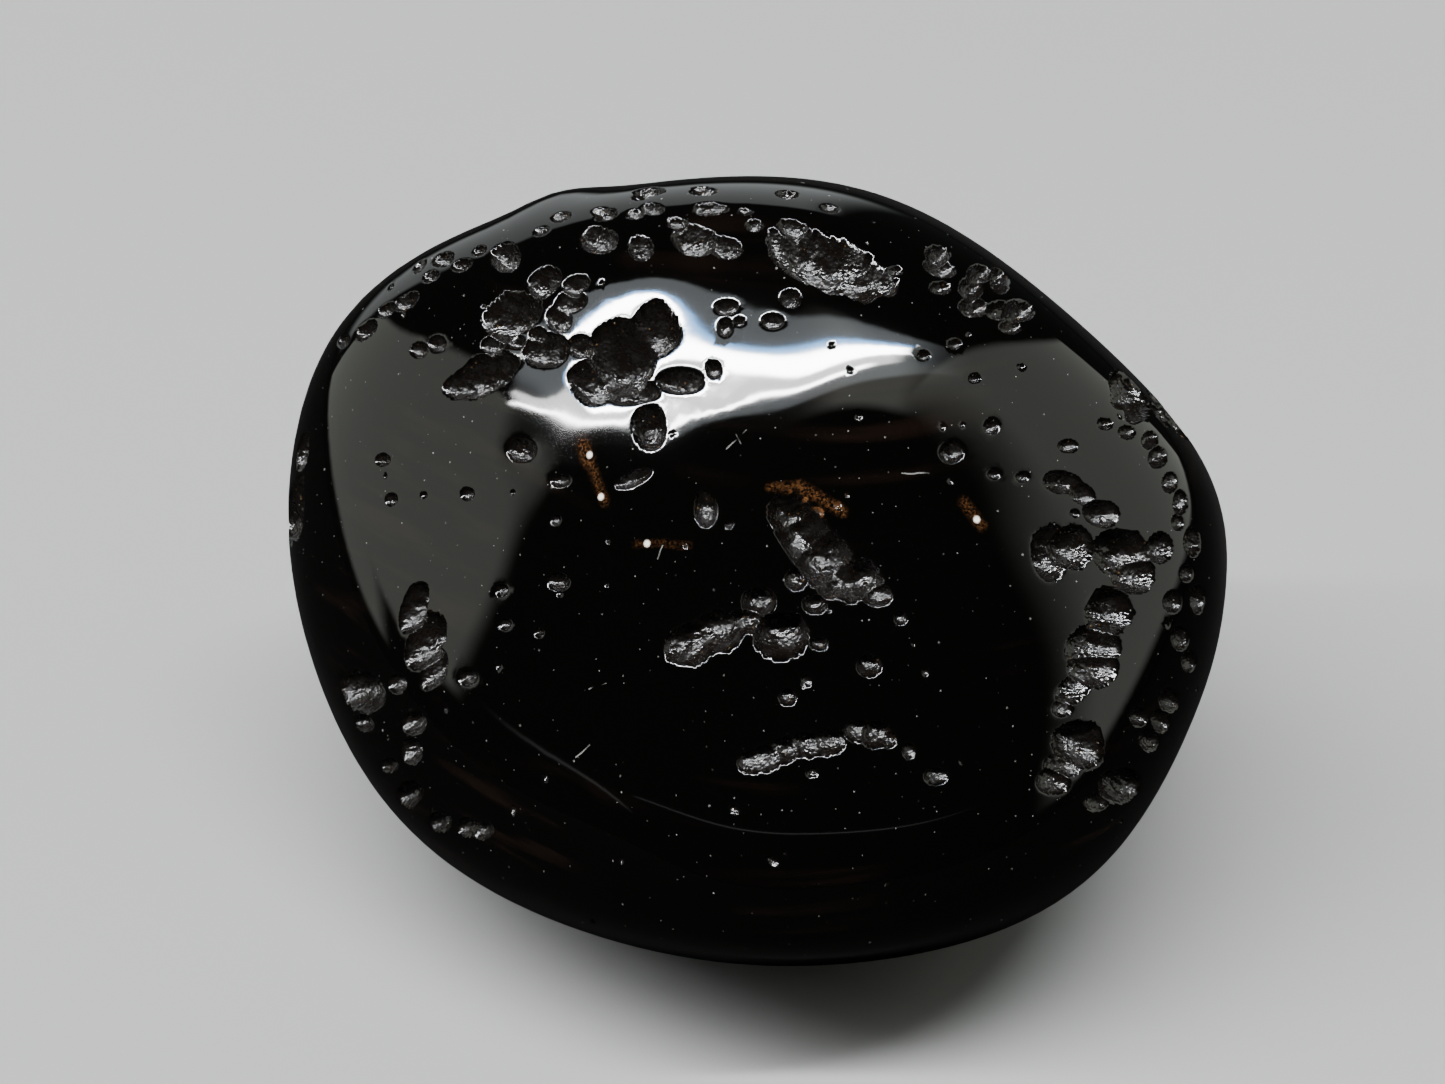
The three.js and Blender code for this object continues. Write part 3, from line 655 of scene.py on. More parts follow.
def broken_depth(points):
    """Depth of the surface under the unbroken skin, mm, at points of that skin."""
    in_order = SortedPoints(points)
    ragged = 1 + RAGGED * lumps(points, outline_waves)
    depth = np.full(len(points), UNBROKEN)
    for bowl in bowls + pinholes:
        close, places = in_order.near(bowl, BOWL_MARGIN)
        out = np.linalg.norm(bowl.shares(places), axis=-1) * ragged[close]
        inside = np.clip(1 - out**2, 0, 1) ** SECTION_POWER
        sunk = bowl.depth * (inside - OUTER_SLOPE * np.maximum(out - 1, 0))
        depth[close] = soft_max(depth[close], np.maximum(sunk, UNBROKEN), WALL_ROUNDING)
    well_in = np.clip(depth / WELL_IN, 0, 1)
    floor = np.zeros(len(points))
    for child in in_floors:
        close, places = in_order.near(child, 1.0)
        out = np.linalg.norm(child.shares(places), axis=-1)
        floor[close] = np.maximum(floor[close], child.depth * np.clip(1 - out**2, 0, 1))
    depth = depth + well_in * (floor + LUMP_HEIGHT * lumps(points, lump_waves))
    return soft_max(depth, 0.0, RIM_ROUNDING) - soft_max(UNBROKEN, 0.0, RIM_ROUNDING)


SAMPLE_TURNS = np.linspace(-60, 60, 400)
front_skin = skin_point(heading(SAMPLE_TURNS, np.full(len(SAMPLE_TURNS), CAMERA_RISE)))
print("deepest along one line over the front:", broken_depth(front_skin).max().round(2), "mm")

# %% [markdown]
# ## The pebble's mesh
#
# The fine rims need edges of a tenth of a millimetre, and the smooth skin between them doesn't. A
# subdivision surface or a voxel remesh would be fine everywhere or nowhere. So the mesh starts as an even
# ball of triangles, and any edge that lies in or near a bowl is halved, round after round, until it is
# short enough for that bowl. The length allowed grows with the distance from the bowl, so the triangles
# change size slowly.

# %% Halving edges
def halve_edges(directions, triangles, is_long):
    """Splits every edge that is_long picks, and its triangles to suit."""
    sides = np.sort(triangles[:, [0, 1, 1, 2, 2, 0]].reshape(-1, 2), axis=1)
    edges, which = np.unique(sides, axis=0, return_inverse=True)
    long = is_long(directions, edges)
    middle = np.full(len(edges), -1)
    middle[long] = len(directions) + np.arange(long.sum())
    added = unit(directions[edges[long, 0]] + directions[edges[long, 1]])
    middles = middle[which.reshape(-1)].reshape(-1, 3)
    count = (middles >= 0).sum(axis=1)
    split = [triangles[count == 0]]
    for turn in range(3):
        a, b, c = np.roll(triangles, -turn, axis=1).T
        ab, bc, ca = np.roll(middles, -turn, axis=1).T
        one = (count == 1) & (ab >= 0)
        split += [np.stack(corners, axis=1)[one] for corners in ((a, ab, c), (ab, b, c))]
        two = (count == 2) & (ca < 0)
        split += [np.stack(corners, axis=1)[two] for corners in ((ab, b, bc), (a, ab, bc), (a, bc, c))]
        three = count == 3
        split += [np.stack((a, ab, ca), axis=1)[three]]
    split += [middles[count == 3]]
    return np.concatenate([directions, added]), np.concatenate(split)


def every_edge(directions, edges):
    return np.ones(len(edges), bool)


corners, one_triangle = np.eye(3), np.array([[0, 1, 2]])
print("one triangle becomes", len(halve_edges(corners, one_triangle, every_edge)[1]))

# %% An even ball to start from
BALL_ROUNDS = 5


def starting_ball():
    """A solid with twenty equal faces, each edge halved round after round."""
    golden = (1 + 5**0.5) / 2
    corners = [(-1, golden, 0), (1, golden, 0), (-1, -golden, 0), (1, -golden, 0)]
    corners += [(0, -1, golden), (0, 1, golden), (0, -1, -golden), (0, 1, -golden)]
    corners += [(golden, 0, -1), (golden, 0, 1), (-golden, 0, -1), (-golden, 0, 1)]
    triangles = [(0, 11, 5), (0, 5, 1), (0, 1, 7), (0, 7, 10), (0, 10, 11)]
    triangles += [(1, 5, 9), (5, 11, 4), (11, 10, 2), (10, 7, 6), (7, 1, 8)]
    triangles += [(3, 9, 4), (3, 4, 2), (3, 2, 6), (3, 6, 8), (3, 8, 9)]
    triangles += [(4, 9, 5), (2, 4, 11), (6, 2, 10), (8, 6, 7), (9, 8, 1)]
    directions, triangles = unit(np.array(corners, float)), np.array(triangles)
    for _ in range(BALL_ROUNDS):
        directions, triangles = halve_edges(directions, triangles, every_edge)
    return directions, triangles


directions, triangles = starting_ball()
print("ball:", len(triangles), "triangles")

# %% Finer near the bowls
HALVING_ROUNDS = 4
EDGE_SHARE = 0.1  # of a bowl's width, but within the next two, in mm
LEAST_EDGE, MOST_EDGE = 0.08, 0.19
EDGE_MARGIN = 1.15  # the bowl's rim is at 1, and edges may grow from here outwards
EDGE_GROWTH, EDGE_REACH = 1.0, 0.6


def finest_edge(points):
    """Longest edge that the bowls allow at each skin point."""
    in_order = SortedPoints(points)
    finest = np.full(len(points), np.inf)
    for bowl in bowls + pinholes:
        close, places = in_order.near(bowl, EDGE_MARGIN + EDGE_REACH / bowl.span)
        beyond = np.linalg.norm(bowl.shares(places), axis=-1) - EDGE_MARGIN
        edge = np.clip(bowl.span * EDGE_SHARE, LEAST_EDGE, MOST_EDGE)
        allowed = edge + EDGE_GROWTH * bowl.span * np.maximum(beyond, 0)
        finest[close] = np.minimum(finest[close], allowed)
    return finest


def too_long_for_bowls(directions, edges):
    points = skin_point(directions)
    at_corner = finest_edge(points)
    a, b = edges.T
    at_middle = finest_edge(skin_point(unit(directions[a] + directions[b])))
    allowed = np.minimum(np.minimum(at_corner[a], at_corner[b]), at_middle)
    return np.linalg.norm(points[a] - points[b], axis=-1) > allowed


for _ in range(HALVING_ROUNDS):
    directions, triangles = halve_edges(directions, triangles, too_long_for_bowls)
print("after halving:", len(triangles), "triangles")

# %% [markdown]
# ## The finished surface
#
# Each point of the ball is moved out to the skin and back in by the depth of the bowls. The lowest patch
# is worn level, because the pebble rests on it. The skin is drawn in by three parts in a thousand, so
# that the finished surface never stands proud of the plain solid that it dresses. Normals could be left
# to the triangles, but a mirror shows every facet, so they are measured on the surface itself. Two values
# are kept at each point for the material: how far it is sunk in a bowl, and how near it is to a rim.

# %% Raise the skin
EASE = 0.997
LEAST_DROP = 1e-6  # keeps the upper half, which never meets the table, from dividing by 0
FINE_NORMAL_STEP = 0.0015


def pebble_surface(directions):
    """The finished surface: the skin, less the bowls, and level where it rests."""
    radius = EASE * skin_radius(directions) - broken_depth(skin_point(directions))
    drop = np.maximum(-directions[:, 2], LEAST_DROP)
    return MIDDLE + directions * np.minimum(radius, MIDDLE[2] / drop)[:, None]


points = pebble_surface(directions)
normals = surface_normal(directions, pebble_surface, FINE_NORMAL_STEP)
depths = broken_depth(skin_point(directions))
print("lowest point:", points[:, 2].min().round(4), "mm; deepest bowl:", depths.max().round(2), "mm")

# %% Build the pebble
SUNK_DEPTH = 0.12  # mm deep, where the polish has quite gone
LIP_DEPTH, LIP_START = 0.05, 0.01


def keep_values(mesh, name, values):
    """Store one number for each point of a mesh, for its material to read."""
    stored = mesh.attributes.new(name, "FLOAT", "POINT")
    stored.data.foreach_set("value", values.astype(np.float32))


def make_pebble():
    mesh = bpy.data.meshes.new("pebble")
    mesh.from_pydata((points * MM).tolist(), [], triangles.tolist())
    mesh.shade_smooth()
    mesh.normals_split_custom_set_from_vertices(normals.tolist())
    keep_values(mesh, "sunk", np.clip(depths / SUNK_DEPTH, 0, 1))
    lip = np.exp(-(((depths - LIP_DEPTH) / LIP_DEPTH) ** 2)) * np.clip(depths / LIP_START - 1, 0, 1)
    keep_values(mesh, "rim", lip)
    pebble = bpy.data.objects.new("pebble", mesh)
    bpy.context.scene.collection.objects.link(pebble)
    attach(pebble, "root")
    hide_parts("tektite")
    return pebble


pebble = make_pebble()
print("pebble:", len(pebble.data.polygons), "triangles")

# %% [markdown]
# ## Nodes in few words
#
# A material is a tree of nodes: boxes that each do one small sum over the surface, joined by links. They
# could be placed by hand in the shader editor. Short helpers make the same boxes and links, and keep the
# recipes below readable.

# %% Node helpers
def node(tree, kind, **settings):
    made = tree.nodes.new(kind)
    for name, value in settings.items():
        setattr(made, name, value)
    return made


def feed(tree, socket, source):
    """Link a socket to another, or set its value."""
    if isinstance(source, bpy.types.NodeSocket):
        tree.links.new(source, socket)
    else:
        socket.default_value = source


def noise(tree, place, scale, detail=2.0, roughness=0.5):
    made = node(tree, "ShaderNodeTexNoise")
    for name, source in (("Vector", place), ("Scale", scale), ("Detail", detail), ("Roughness", roughness)):
        feed(tree, made.inputs[name], source)
    return made.outputs["Fac"]


def attribute(tree, name):
    return node(tree, "ShaderNodeAttribute", attribute_name=name).outputs["Fac"]


print("helpers:", [helper.__name__ for helper in (node, feed, noise, attribute)])

# %% Sums and mixtures
def math(tree, operation, a, b=0.0):
    made = node(tree, "ShaderNodeMath", operation=operation)
    feed(tree, made.inputs[0], a)
    feed(tree, made.inputs[1], b)
    return made.outputs[0]


def product(tree, first, *others):
    for other in others:
        first = math(tree, "MULTIPLY", first, other)
    return first


def strongest(tree, first, *others):
    for other in others:
        first = math(tree, "MAXIMUM", first, other)
    return first


def remap(tree, value, low, high, to_low=0.0, to_high=1.0):
    """A soft step from one range to another."""
    made = node(tree, "ShaderNodeMapRange", interpolation_type="SMOOTHSTEP")
    for name, source in zip(("Value", "From Min", "From Max", "To Min", "To Max"),
                            (value, low, high, to_low, to_high)):
        feed(tree, made.inputs[name], source)
    return made.outputs["Result"]


def vector_math(tree, operation, *sources, output="Vector"):
    made = node(tree, "ShaderNodeVectorMath", operation=operation)
    for socket, source in zip(made.inputs, sources):
        feed(tree, socket, source)
    return made.outputs[output]


def mix_colour(tree, factor, a, b):
    mixer = node(tree, "ShaderNodeMix", data_type="RGBA")
    factor_socket, a_socket, b_socket = mixer.inputs[0], mixer.inputs[6], mixer.inputs[7]
    for socket, source in ((factor_socket, factor), (a_socket, a), (b_socket, b)):
        feed(tree, socket, source)
    return mixer.outputs[2]


print("helpers:", [helper.__name__ for helper in (math, product, strongest, remap, vector_math, mix_colour)])

# %% [markdown]
# ## Small marks
#
# Painted glints, streaks and spots of painted amber glow, fibres of lint and specks of dust are all small
# marks with a place and a size. The glints and the amber glow are painted light; the lint and dust are real.
# They could be painted on an image, but an image needs a layout of the whole skin and blurs up close.
# Each kind of mark is a node group that puts out a mask instead. It is built once and placed as often as
# needed, each time with its own values.

# %% Groups with named sockets
FLOAT, VECTOR = "NodeSocketFloat", "NodeSocketVector"


def new_group(name, **inputs):
    """A node group that puts out a mask. Each input has a number to start from, or None for a vector."""
    group = bpy.data.node_groups.new(name, "ShaderNodeTree")
    for label, default in inputs.items():
        kind = VECTOR if default is None else FLOAT
        socket = group.interface.new_socket(label, in_out="INPUT", socket_type=kind)
        if default is not None:
            socket.default_value = default
    group.interface.new_socket("Mask", in_out="OUTPUT", socket_type=FLOAT)
    return group, node(group, "NodeGroupInput").outputs, node(group, "NodeGroupOutput").inputs["Mask"]


def use_group(tree, group, **sources):
    made = node(tree, "ShaderNodeGroup")
    made.node_tree = group
    for name, source in sources.items():
        feed(tree, made.inputs[name], source)
    return made.outputs["Mask"]


print("sockets of a mask group:", FLOAT, "and", VECTOR)

# %% Mask round a point: lengths in materials are metres
# radius of a painted glint, also the group's starting radius
GLINT_RADIUS = 0.00015


def near_point_group():
    """1 at a centre, falling softly to 0 at a radius."""
    group, given, mask = new_group("near point", Place=None, Centre=None, Radius=GLINT_RADIUS)
    gap = vector_math(group, "DISTANCE", given["Place"], given["Centre"], output="Value")
    feed(group, mask, remap(group, gap, given["Radius"], 0.0))
    return group


NEAR_POINT = near_point_group()
print("group:", NEAR_POINT.name)

# %% Mask along a fibre, for lint and for streaks of painted glow: waves to the metre, how far it bends, and its width
FIBRE_WAVES, FIBRE_BEND, FIBRE_WIDTH = 1300.0, 0.00016, 0.000034


# draws real lint fibres and also the streaks of painted amber glow
def lint_and_glow_streak_group():
    """1 on a line from a start along a run, with a slight wobble: lint fibres and streaks of painted glow.
    """
    group, given, mask = new_group("fibre", Place=None, Start=None, Run=None, Width=FIBRE_WIDTH)
    wobble = node(group, "ShaderNodeTexNoise")
    feed(group, wobble.inputs["Vector"], given["Place"])
    wobble.inputs["Scale"].default_value = FIBRE_WAVES
    sway = vector_math(group, "SUBTRACT", wobble.outputs["Color"], (0.5, 0.5, 0.5))
    bent = vector_math(group, "MULTIPLY_ADD", sway, (FIBRE_BEND,) * 3, given["Place"])
    offset = vector_math(group, "SUBTRACT", bent, given["Start"])
    forward = vector_math(group, "DOT_PRODUCT", offset, given["Run"], output="Value")
    whole = vector_math(group, "DOT_PRODUCT", given["Run"], given["Run"], output="Value")
    along = math(group, "DIVIDE", forward, whole)
    along = math(group, "MINIMUM", math(group, "MAXIMUM", along, 0.0), 1.0)
    nearest = node(group, "ShaderNodeVectorMath", operation="SCALE")
    feed(group, nearest.inputs[0], given["Run"])
    feed(group, nearest.inputs["Scale"], along)
    gap = vector_math(group, "DISTANCE", offset, nearest.outputs[0], output="Value")
    feed(group, mask, remap(group, gap, given["Width"], 0.0))
    return group


LINT_AND_GLOW_STREAK = lint_and_glow_streak_group()
print("group:", LINT_AND_GLOW_STREAK.name)

# %% Mask of scattered specks
def specks_group():
    """Small dots: some cells of a fine pattern hold one, each of its own size and strength."""
    group, given, mask = new_group("specks", Place=None, Scale=1000.0, Share=0.1, Size=0.2)
    cells = node(group, "ShaderNodeTexVoronoi")
    feed(group, cells.inputs["Vector"], given["Place"])
    feed(group, cells.inputs["Scale"], given["Scale"])
    random = node(group, "ShaderNodeSeparateColor")
    feed(group, random.inputs[0], cells.outputs["Color"])
    chosen = math(group, "LESS_THAN", random.outputs[0], given["Share"])
    radius = math(group, "MULTIPLY", given["Size"], random.outputs[1])
    dot = remap(group, cells.outputs["Distance"], radius, 0.0)
    feed(group, mask, product(group, chosen, random.outputs[2], dot))
    return group


SPECKS = specks_group()
print("group:", SPECKS.name)

# %% Where the marks lie: x and y on the drawing plane in mm, then width or radius in metres, strength
# painted glints: white spots that stand for flashes of lamp light reflected inside the glass
PAINTED_GLINTS = [(-5.9, 4.08), (-3.87, 0.95), (7.78, 1.8), (-5.5, 2.6)]
# painted amber glow: streaks of light seen through the glass beside the glints and over the long bubble
PAINTED_GLOW_STREAKS = [
    ((-6.15, 4.5), (-5.95, 3.9), 0.0004, 0.34), ((-5.9, 3.9), (-5.35, 2.4), 0.00028, 0.26),
    ((-4.3, 0.95), (-2.4, 0.9), 0.0002, 0.13), ((7.35, 2.4), (7.95, 1.6), 0.0003, 0.26),
    ((0.5, 2.95), (1.5, 3.0), 0.00022, 0.26), ((1.5, 3.0), (3.0, 2.1), 0.00028, 0.36),
]
# painted amber glow on thin lips, where light would come through the glass
LIP_GLOW_SPOTS = [(1.9, 2.8, 0.0013), (-0.2, 2.2, 0.0006), (-5.9, 3.6, 0.0007)]
FIBRES = [
    ((-5.95, -4.2), (-5.3, -3.98)), ((-1.05, 4.3), (-0.4, 4.95)), ((-0.75, 4.85), (-0.55, 4.5)),
    ((-6.4, -6.6), (-5.9, -6.2)), ((5.15, 3.42), (6.1, 3.4)), ((-3.5, 0.4), (-3.3, 0.85)),
]
FIBRE_STRENGTH = 0.7
DUST_SPECKS = [{"Scale": 1800.0, "Share": 0.6, "Size": 0.12}, {"Scale": 3500.0, "Share": 0.7, "Size": 0.15}]
# gold-brown specks, only in the bubble walls
WALL_FLECKS = {"Scale": 7000.0, "Share": 0.2, "Size": 0.4}


def on_skin(x, y):
    """Point of the eased skin behind a point of the drawing, in metres."""
    point = MIDDLE + EASE * (skin_point(drop_on_skin(x, y)) - MIDDLE)
    return Vector((point * MM).tolist())


def spots(tree, place, centres):
    """One mask for round spots of painted light, each a place on the drawing and a radius."""
    return strongest(tree, *[use_group(tree, NEAR_POINT, Place=place, Centre=on_skin(x, y), Radius=radius)
                             for x, y, radius in centres])


def strokes(tree, place, lines):
    """One mask for long marks, each a start, an end, a width and a strength."""
    masks = []
    for start, end, width, strength in lines:
        run = on_skin(*end) - on_skin(*start)
        stroke = use_group(tree, LINT_AND_GLOW_STREAK, Place=place, Start=on_skin(*start), Run=run, Width=width)
        masks.append(product(tree, stroke, strength))
    return strongest(tree, *masks)


print("marks:", len(PAINTED_GLINTS), "glints,", len(PAINTED_GLOW_STREAKS), "smears,", len(FIBRES), "fibres")

# %% [markdown]
# ## Black glass
#
# The glass is so full of iron that it looks black: almost no light comes back out of it, and all the
# pebble shows is a clear mirror image of the room, with faint brown bands where the old melt flowed. Their
# brown is painted glow, for the little light that comes back out through the glass. A glass shader that
# lets light through would be slow and would still come out black, so the surface is opaque, dark and
# bright as a mirror. Inside the bubbles the skin was never polished. It is just as black there, but slightly
# rough and finely pocked, so it spreads the lamps' light and breaks it into sparks, and a few gold-brown
# specks fleck it. A few thin lips are painted with an amber glow, for light coming through them.

# %% Colours and finishes: each colour is red, green, blue and cover, from 0 to 1
GLASS_BLACK = (0.0007, 0.0006, 0.0005, 1.0)
# painted glow: the brown of the flow bands stands for light coming back out through the glass
PAINTED_FLOW_GLOW = (0.0045, 0.0026, 0.0018, 1.0)
WALL_BLACK = (0.0045, 0.0034, 0.0027, 1.0)
# painted glow: amber for light coming through thin glass
PAINTED_AMBER_GLOW = (0.24, 0.10, 0.035, 1.0)
# painted highlight: the white of the painted glints
PAINTED_GLINT_WHITE = (1.0, 0.9, 0.78, 1.0)
DUST = (0.3, 0.3, 0.28, 1.0)
GOLD = (0.2, 0.11, 0.04, 1.0)
GLASS_IOR = 1.51
POLISH_ROUGHNESS = 0.03
WALL_ROUGHNESS = (0.13, 0.38)
print("the wall of a bubble is", WALL_ROUGHNESS, "rough, the polish", POLISH_ROUGHNESS)

# %% Flow bands of painted glow and clear glass: patterns by cells to the metre, and where they start and are full
FLOW_LEAN = (0.0, 0.25, 0.0)
FLOW_STRETCH = (0.2, 0.8, 6.0)
FLOW_BANDS, FLOW_BANDS_EDGE = 330, (0.5, 0.72)
FLOW_PATCHES, FLOW_PATCHES_EDGE = 150, (0.48, 0.66)


def glass_colour(tree, place, sunk):
    """Black, with painted brown glow in flow bands and patches, and a little paler in the bubbles."""
    stretched = node(tree, "ShaderNodeMapping")
    feed(tree, stretched.inputs["Vector"], place)
    stretched.inputs["Rotation"].default_value = FLOW_LEAN
    stretched.inputs["Scale"].default_value = FLOW_STRETCH
    bands = remap(tree, noise(tree, stretched.outputs[0], FLOW_BANDS), *FLOW_BANDS_EDGE)
    patches = remap(tree, noise(tree, place, FLOW_PATCHES), *FLOW_PATCHES_EDGE)
    polished = mix_colour(tree, product(tree, bands, patches), GLASS_BLACK, PAINTED_FLOW_GLOW)
    return mix_colour(tree, sunk, polished, WALL_BLACK)


print("flow bands run", round(FLOW_STRETCH[2] / FLOW_STRETCH[0]), "times as long as they are high")

# %% Marks over the glass, with painted glints and painted amber glow among them
MOTTLE, MOTTLE_DETAIL, MOTTLE_EDGE = 12000, 3.0, (0.35, 0.74)
LIP_GLOW_STRENGTH, PAINTED_GLINT_STRENGTH = 1.6, 2.0


def with_marks(tree, place, sunk, rim, colour):
    """The glass colour under painted amber glow, painted glints, lint, dust and gold-brown specks, in that
    order.
    """
    mottle = remap(tree, noise(tree, place, MOTTLE, MOTTLE_DETAIL), *MOTTLE_EDGE)
    # painted amber glow on lips and in streaks, standing for light through the glass
    amber = product(tree, spots(tree, place, LIP_GLOW_SPOTS), rim, LIP_GLOW_STRENGTH)
    glow_streak = product(tree, strokes(tree, place, PAINTED_GLOW_STREAKS), mottle)
    # painted glints: white spots of painted light
    glints = spots(tree, place, [(x, y, GLINT_RADIUS) for x, y in PAINTED_GLINTS])
    glints = product(tree, glints, PAINTED_GLINT_STRENGTH)
    dust = [use_group(tree, SPECKS, Place=place, **specks) for specks in DUST_SPECKS]
    lint = strokes(tree, place, [(*fibre, FIBRE_WIDTH, FIBRE_STRENGTH) for fibre in FIBRES])
    dust = strongest(tree, lint, *dust)
    wall_flecks = product(tree, use_group(tree, SPECKS, Place=place, **WALL_FLECKS), sunk)
    # layers: painted amber glow, painted glints, then real lint and dust, then gold-brown specks
    for mask, mark_colour in ((strongest(tree, amber, glow_streak), PAINTED_AMBER_GLOW), (glints, PAINTED_GLINT_WHITE), (dust, DUST),
                              (wall_flecks, GOLD)):
        colour = mix_colour(tree, math(tree, "MINIMUM", mask, 1.0), colour, mark_colour)
    return colour


print("amber lips:", len(LIP_GLOW_SPOTS), " layers of dust:", len(DUST_SPECKS))

# %% Polish outside, pocked walls inside
GRAIN, GRAIN_DETAIL, GRAIN_ROUGHNESS, GRAIN_EDGE = 2400, 3.0, 0.6, (0.35, 0.65)
POCKS, POCK_SHARE = 7500.0, 0.55
POCK_RELIEF, POCK_STRENGTH = 0.00005, 0.9


def roughness_and_bump(tree, place, sunk):
    """Roughness of the surface, and its normal, with grain and pocks in the bubbles only."""
    grain = noise(tree, place, GRAIN, GRAIN_DETAIL, GRAIN_ROUGHNESS)
    roughness = node(tree, "ShaderNodeMix", data_type="FLOAT")
    feed(tree, roughness.inputs[0], sunk)
    feed(tree, roughness.inputs[2], POLISH_ROUGHNESS)
    feed(tree, roughness.inputs[3], remap(tree, grain, *GRAIN_EDGE, *WALL_ROUGHNESS))
    pocks = node(tree, "ShaderNodeTexVoronoi")
    feed(tree, pocks.inputs["Vector"], place)
    pocks.inputs["Scale"].default_value = POCKS
    bump = node(tree, "ShaderNodeBump")
    bump.inputs["Distance"].default_value = POCK_RELIEF
    relief = math(tree, "ADD", product(tree, pocks.outputs["Distance"], POCK_SHARE), grain)
    feed(tree, bump.inputs["Height"], relief)
    feed(tree, bump.inputs["Strength"], product(tree, sunk, POCK_STRENGTH))
    return roughness.outputs[0], bump.outputs[0]


print("pocks are about", round(1 / POCKS / MM, 2), "mm wide and up to", POCK_RELIEF / MM, "mm deep")

# %% The material
def black_glass():
    material = bpy.data.materials.new("black glass")
    material.use_nodes = True
    tree = material.node_tree
    shader = tree.nodes["Principled BSDF"]
    place = node(tree, "ShaderNodeTexCoord").outputs["Object"]
    sunk, rim = attribute(tree, "sunk"), attribute(tree, "rim")
    colour = with_marks(tree, place, sunk, rim, glass_colour(tree, place, sunk))
    roughness, normal = roughness_and_bump(tree, place, sunk)
    feed(tree, shader.inputs["Base Color"], colour)
    feed(tree, shader.inputs["Roughness"], roughness)
    feed(tree, shader.inputs["Normal"], normal)
    shader.inputs["IOR"].default_value = GLASS_IOR
    return material


pebble.data.materials.append(black_glass())
print("materials:", [material.name for material in pebble.data.materials])

# %% [markdown]
# ## The table
#
# The stone lies on a plain, pale, matt table. A single flat square is enough, far wider than the view.
# It is pale to the eye but dim in the mirror, so that the polish underneath stays as dark as it is over
# a dark table.

# %% Floor
FLOOR_SIZE = 4.0
FLOOR_ROUGHNESS = 0.9
FLOOR_COLOUR = (0.34, 0.34, 0.33, 1.0)
FLOOR_IN_MIRROR = (0.012, 0.012, 0.0115, 1.0)


def make_floor():
    bpy.ops.mesh.primitive_plane_add(size=FLOOR_SIZE, location=(0, 0, 0))
    floor = bpy.context.object
    floor.name = "floor"
    material = bpy.data.materials.new("floor")
    material.use_nodes = True
    tree = material.node_tree
    shader = tree.nodes["Principled BSDF"]
    in_mirror = node(tree, "ShaderNodeLightPath").outputs["Is Glossy Ray"]
    feed(tree, shader.inputs["Base Color"], mix_colour(tree, in_mirror, FLOOR_COLOUR, FLOOR_IN_MIRROR))
    shader.inputs["Roughness"].default_value = FLOOR_ROUGHNESS
    shader.inputs["Specular IOR Level"].default_value = 0.0
    floor.data.materials.append(material)
    return floor


print("made:", make_floor().name, FLOOR_SIZE, "m wide")

# %% [markdown]
# ## The room and its lights
#
# What a black mirror shows is the room, so the room is built with care: two long tubes overhead, which
# draw the white band along the ridge, a grey ceiling behind them, a dim wall on either side, and darkness
# between the walls where the viewer stands. A grey wall far behind gives the back edge a soft sheen, and
# the lit edge of the table draws a thin line low in the front. A picture of a room could be wrapped round
# the scene, but panels can be moved one at a time until each reflection sits where it should. They hang
# far away, so that each part of the stone sees them in the same direction, and the eye can't see them.

# %% One soft panel
ROOM_REACH = 1200.0
WHITE, COOL, GREEN_GREY = (1.0, 1.0, 1.0), (0.12, 0.45, 1.0), (0.96, 1.0, 0.90)


def soften(data, softness):
    """Fade a lamp towards its edges, by these shares of its width and height."""
    data.use_nodes = True
    tree = data.node_tree
    emission = tree.nodes["Emission"]
    across = node(tree, "ShaderNodeSeparateXYZ")
    feed(tree, across.inputs[0], node(tree, "ShaderNodeNewGeometry").outputs["Parametric"])
    fades = []
    for place, share in zip(across.outputs[:2], softness):
        from_edge = math(tree, "SUBTRACT", 0.5, math(tree, "ABSOLUTE", math(tree, "SUBTRACT", place, 0.5)))
        fades.append(remap(tree, from_edge, 0.0, share))
    feed(tree, emission.inputs["Strength"], product(tree, *fades))


def make_panel(name, turn, rise, sideways, up, brightness, softness, colour=WHITE, roll=0.0, behind=0.0):
    """A lamp in a plane square to a heading. It spans degrees sideways and up from that heading."""
    reach = ROOM_REACH + behind
    left, right = reach * np.tan(np.radians(sideways))
    low, high = reach * np.tan(np.radians(up))
    data = bpy.data.lights.new(name, "AREA")
    data.shape = "RECTANGLE"
    data.size, data.size_y = (right - left) * MM, (high - low) * MM
    data.energy = brightness * np.pi * data.size * data.size_y
    data.color = colour
    soften(data, softness)
    lamp = bpy.data.objects.new(name, data)
    lamp.visible_camera = False
    back = heading(turn, rise)
    level = unit(np.cross((0.0, 0.0, 1.0), back))
    upright = np.cross(back, level)
    cos, sin = np.cos(np.radians(roll)), np.sin(np.radians(roll))
    side, upward = cos * level + sin * upright, cos * upright - sin * level
    place = MIDDLE + back * reach + level * (left + right) / 2 + upright * (low + high) / 2
    lamp.matrix_world = Matrix.Translation(place * MM) @ Matrix((side, upward, back)).transposed().to_4x4()
    bpy.context.scene.collection.objects.link(lamp)
    return lamp


print("panels hang", ROOM_REACH * MM, "m away")

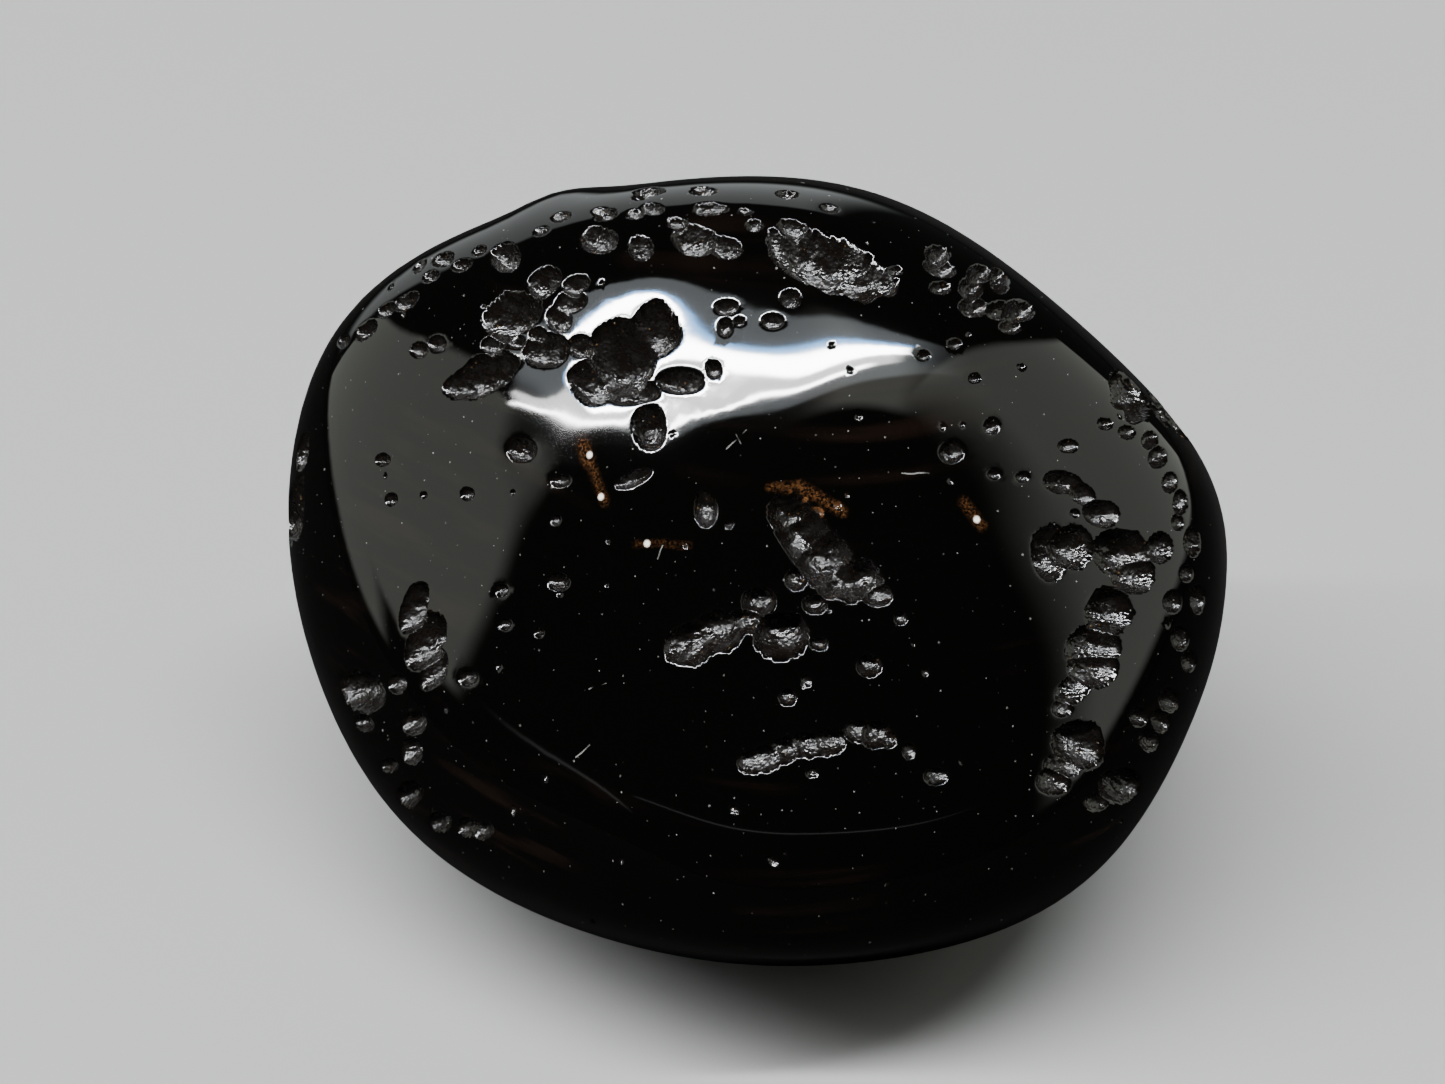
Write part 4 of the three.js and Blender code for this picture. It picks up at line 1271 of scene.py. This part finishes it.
# %% All panels
TUBES = {"turn": 0, "rise": 69.9}
PANELS = {
    "upper tube": dict(TUBES, sideways=(-60, 31), up=(-0.1, 1.2), brightness=260.0, softness=(0.08, 0.15)),
    "lower tube": dict(TUBES, sideways=(-71, 18), up=(-1.35, -0.85), brightness=200.0, softness=(0.06, 0.3)),
    "between the tubes": dict(TUBES, sideways=(-70, 28), up=(-1.5, 1.1), brightness=24.0,
                              softness=(0.05, 0.15), behind=10.0),
    "cool fringe": dict(TUBES, sideways=(-62, 31), up=(0.95, 1.75), brightness=40.0, softness=(0.05, 0.4),
                        colour=COOL, behind=20.0),
    "ceiling": dict(TUBES, sideways=(-69, 40), up=(-2.7, 5.2), brightness=2.7, softness=(0.12, 0.12),
                    colour=(0.88, 0.96, 1.0), roll=-1.0, behind=30.0),
    "ceiling in front": dict(TUBES, sideways=(-15, 40), up=(-11, 3), brightness=1.2, softness=(0.3, 0.25),
                             colour=GREEN_GREY, roll=-8.0, behind=40.0),
    "left wall": dict(turn=-78, rise=0, sideways=(-44, -3.5), up=(4.5, 19.0), brightness=1.0,
                      softness=(0.03, 0.08), colour=GREEN_GREY),
    "left wall, low part": dict(turn=-78, rise=0, sideways=(-44, -10.5), up=(1.0, 5.7), brightness=1.0,
                                softness=(0.04, 0.26), colour=GREEN_GREY, behind=5.0),
    "right wall": dict(turn=62, rise=0, sideways=(-11.2, 70), up=(2.3, 50.0), brightness=1.05,
                       softness=(0.07, 0.06), colour=GREEN_GREY),
    "back wall": dict(turn=180, rise=0, sideways=(-16, 55), up=(2, 46), brightness=0.8,
                      softness=(0.12, 0.12), colour=(0.95, 1.0, 1.0)),
    "table edge": dict(turn=0, rise=0, sideways=(-68, 45), up=(20.6, 20.9), brightness=0.8,
                       softness=(0.1, 0.3)),
    "table edge, left": dict(turn=-78, rise=0, sideways=(-3, 13), up=(6.0, 6.4), brightness=0.5,
                             softness=(0.3, 0.3)),
}
for name, settings in PANELS.items():
    make_panel(name, **settings)
print("lamps:", list(PANELS))

# %% [markdown]
# ## The rest of the room
#
# Beyond the panels there is nothing, so the world's own colour fills in: pale behind the stone for the
# eye, like the table, and nearly dark for everything that the stone mirrors. One colour for both would
# either grey the black glass or hide the stone's dark edge.

# %% World
ROOM_DARK, BACKDROP = (0.02, 0.022, 0.022, 1.0), (0.56, 0.57, 0.57, 1.0)


def make_world():
    world = bpy.data.worlds.new("room")
    world.use_nodes = True
    tree = world.node_tree
    background = tree.nodes["Background"]
    to_eye = node(tree, "ShaderNodeLightPath").outputs["Is Camera Ray"]
    feed(tree, background.inputs["Color"], mix_colour(tree, to_eye, ROOM_DARK, BACKDROP))
    bpy.context.scene.world = world
    return world


print("world:", make_world().name)
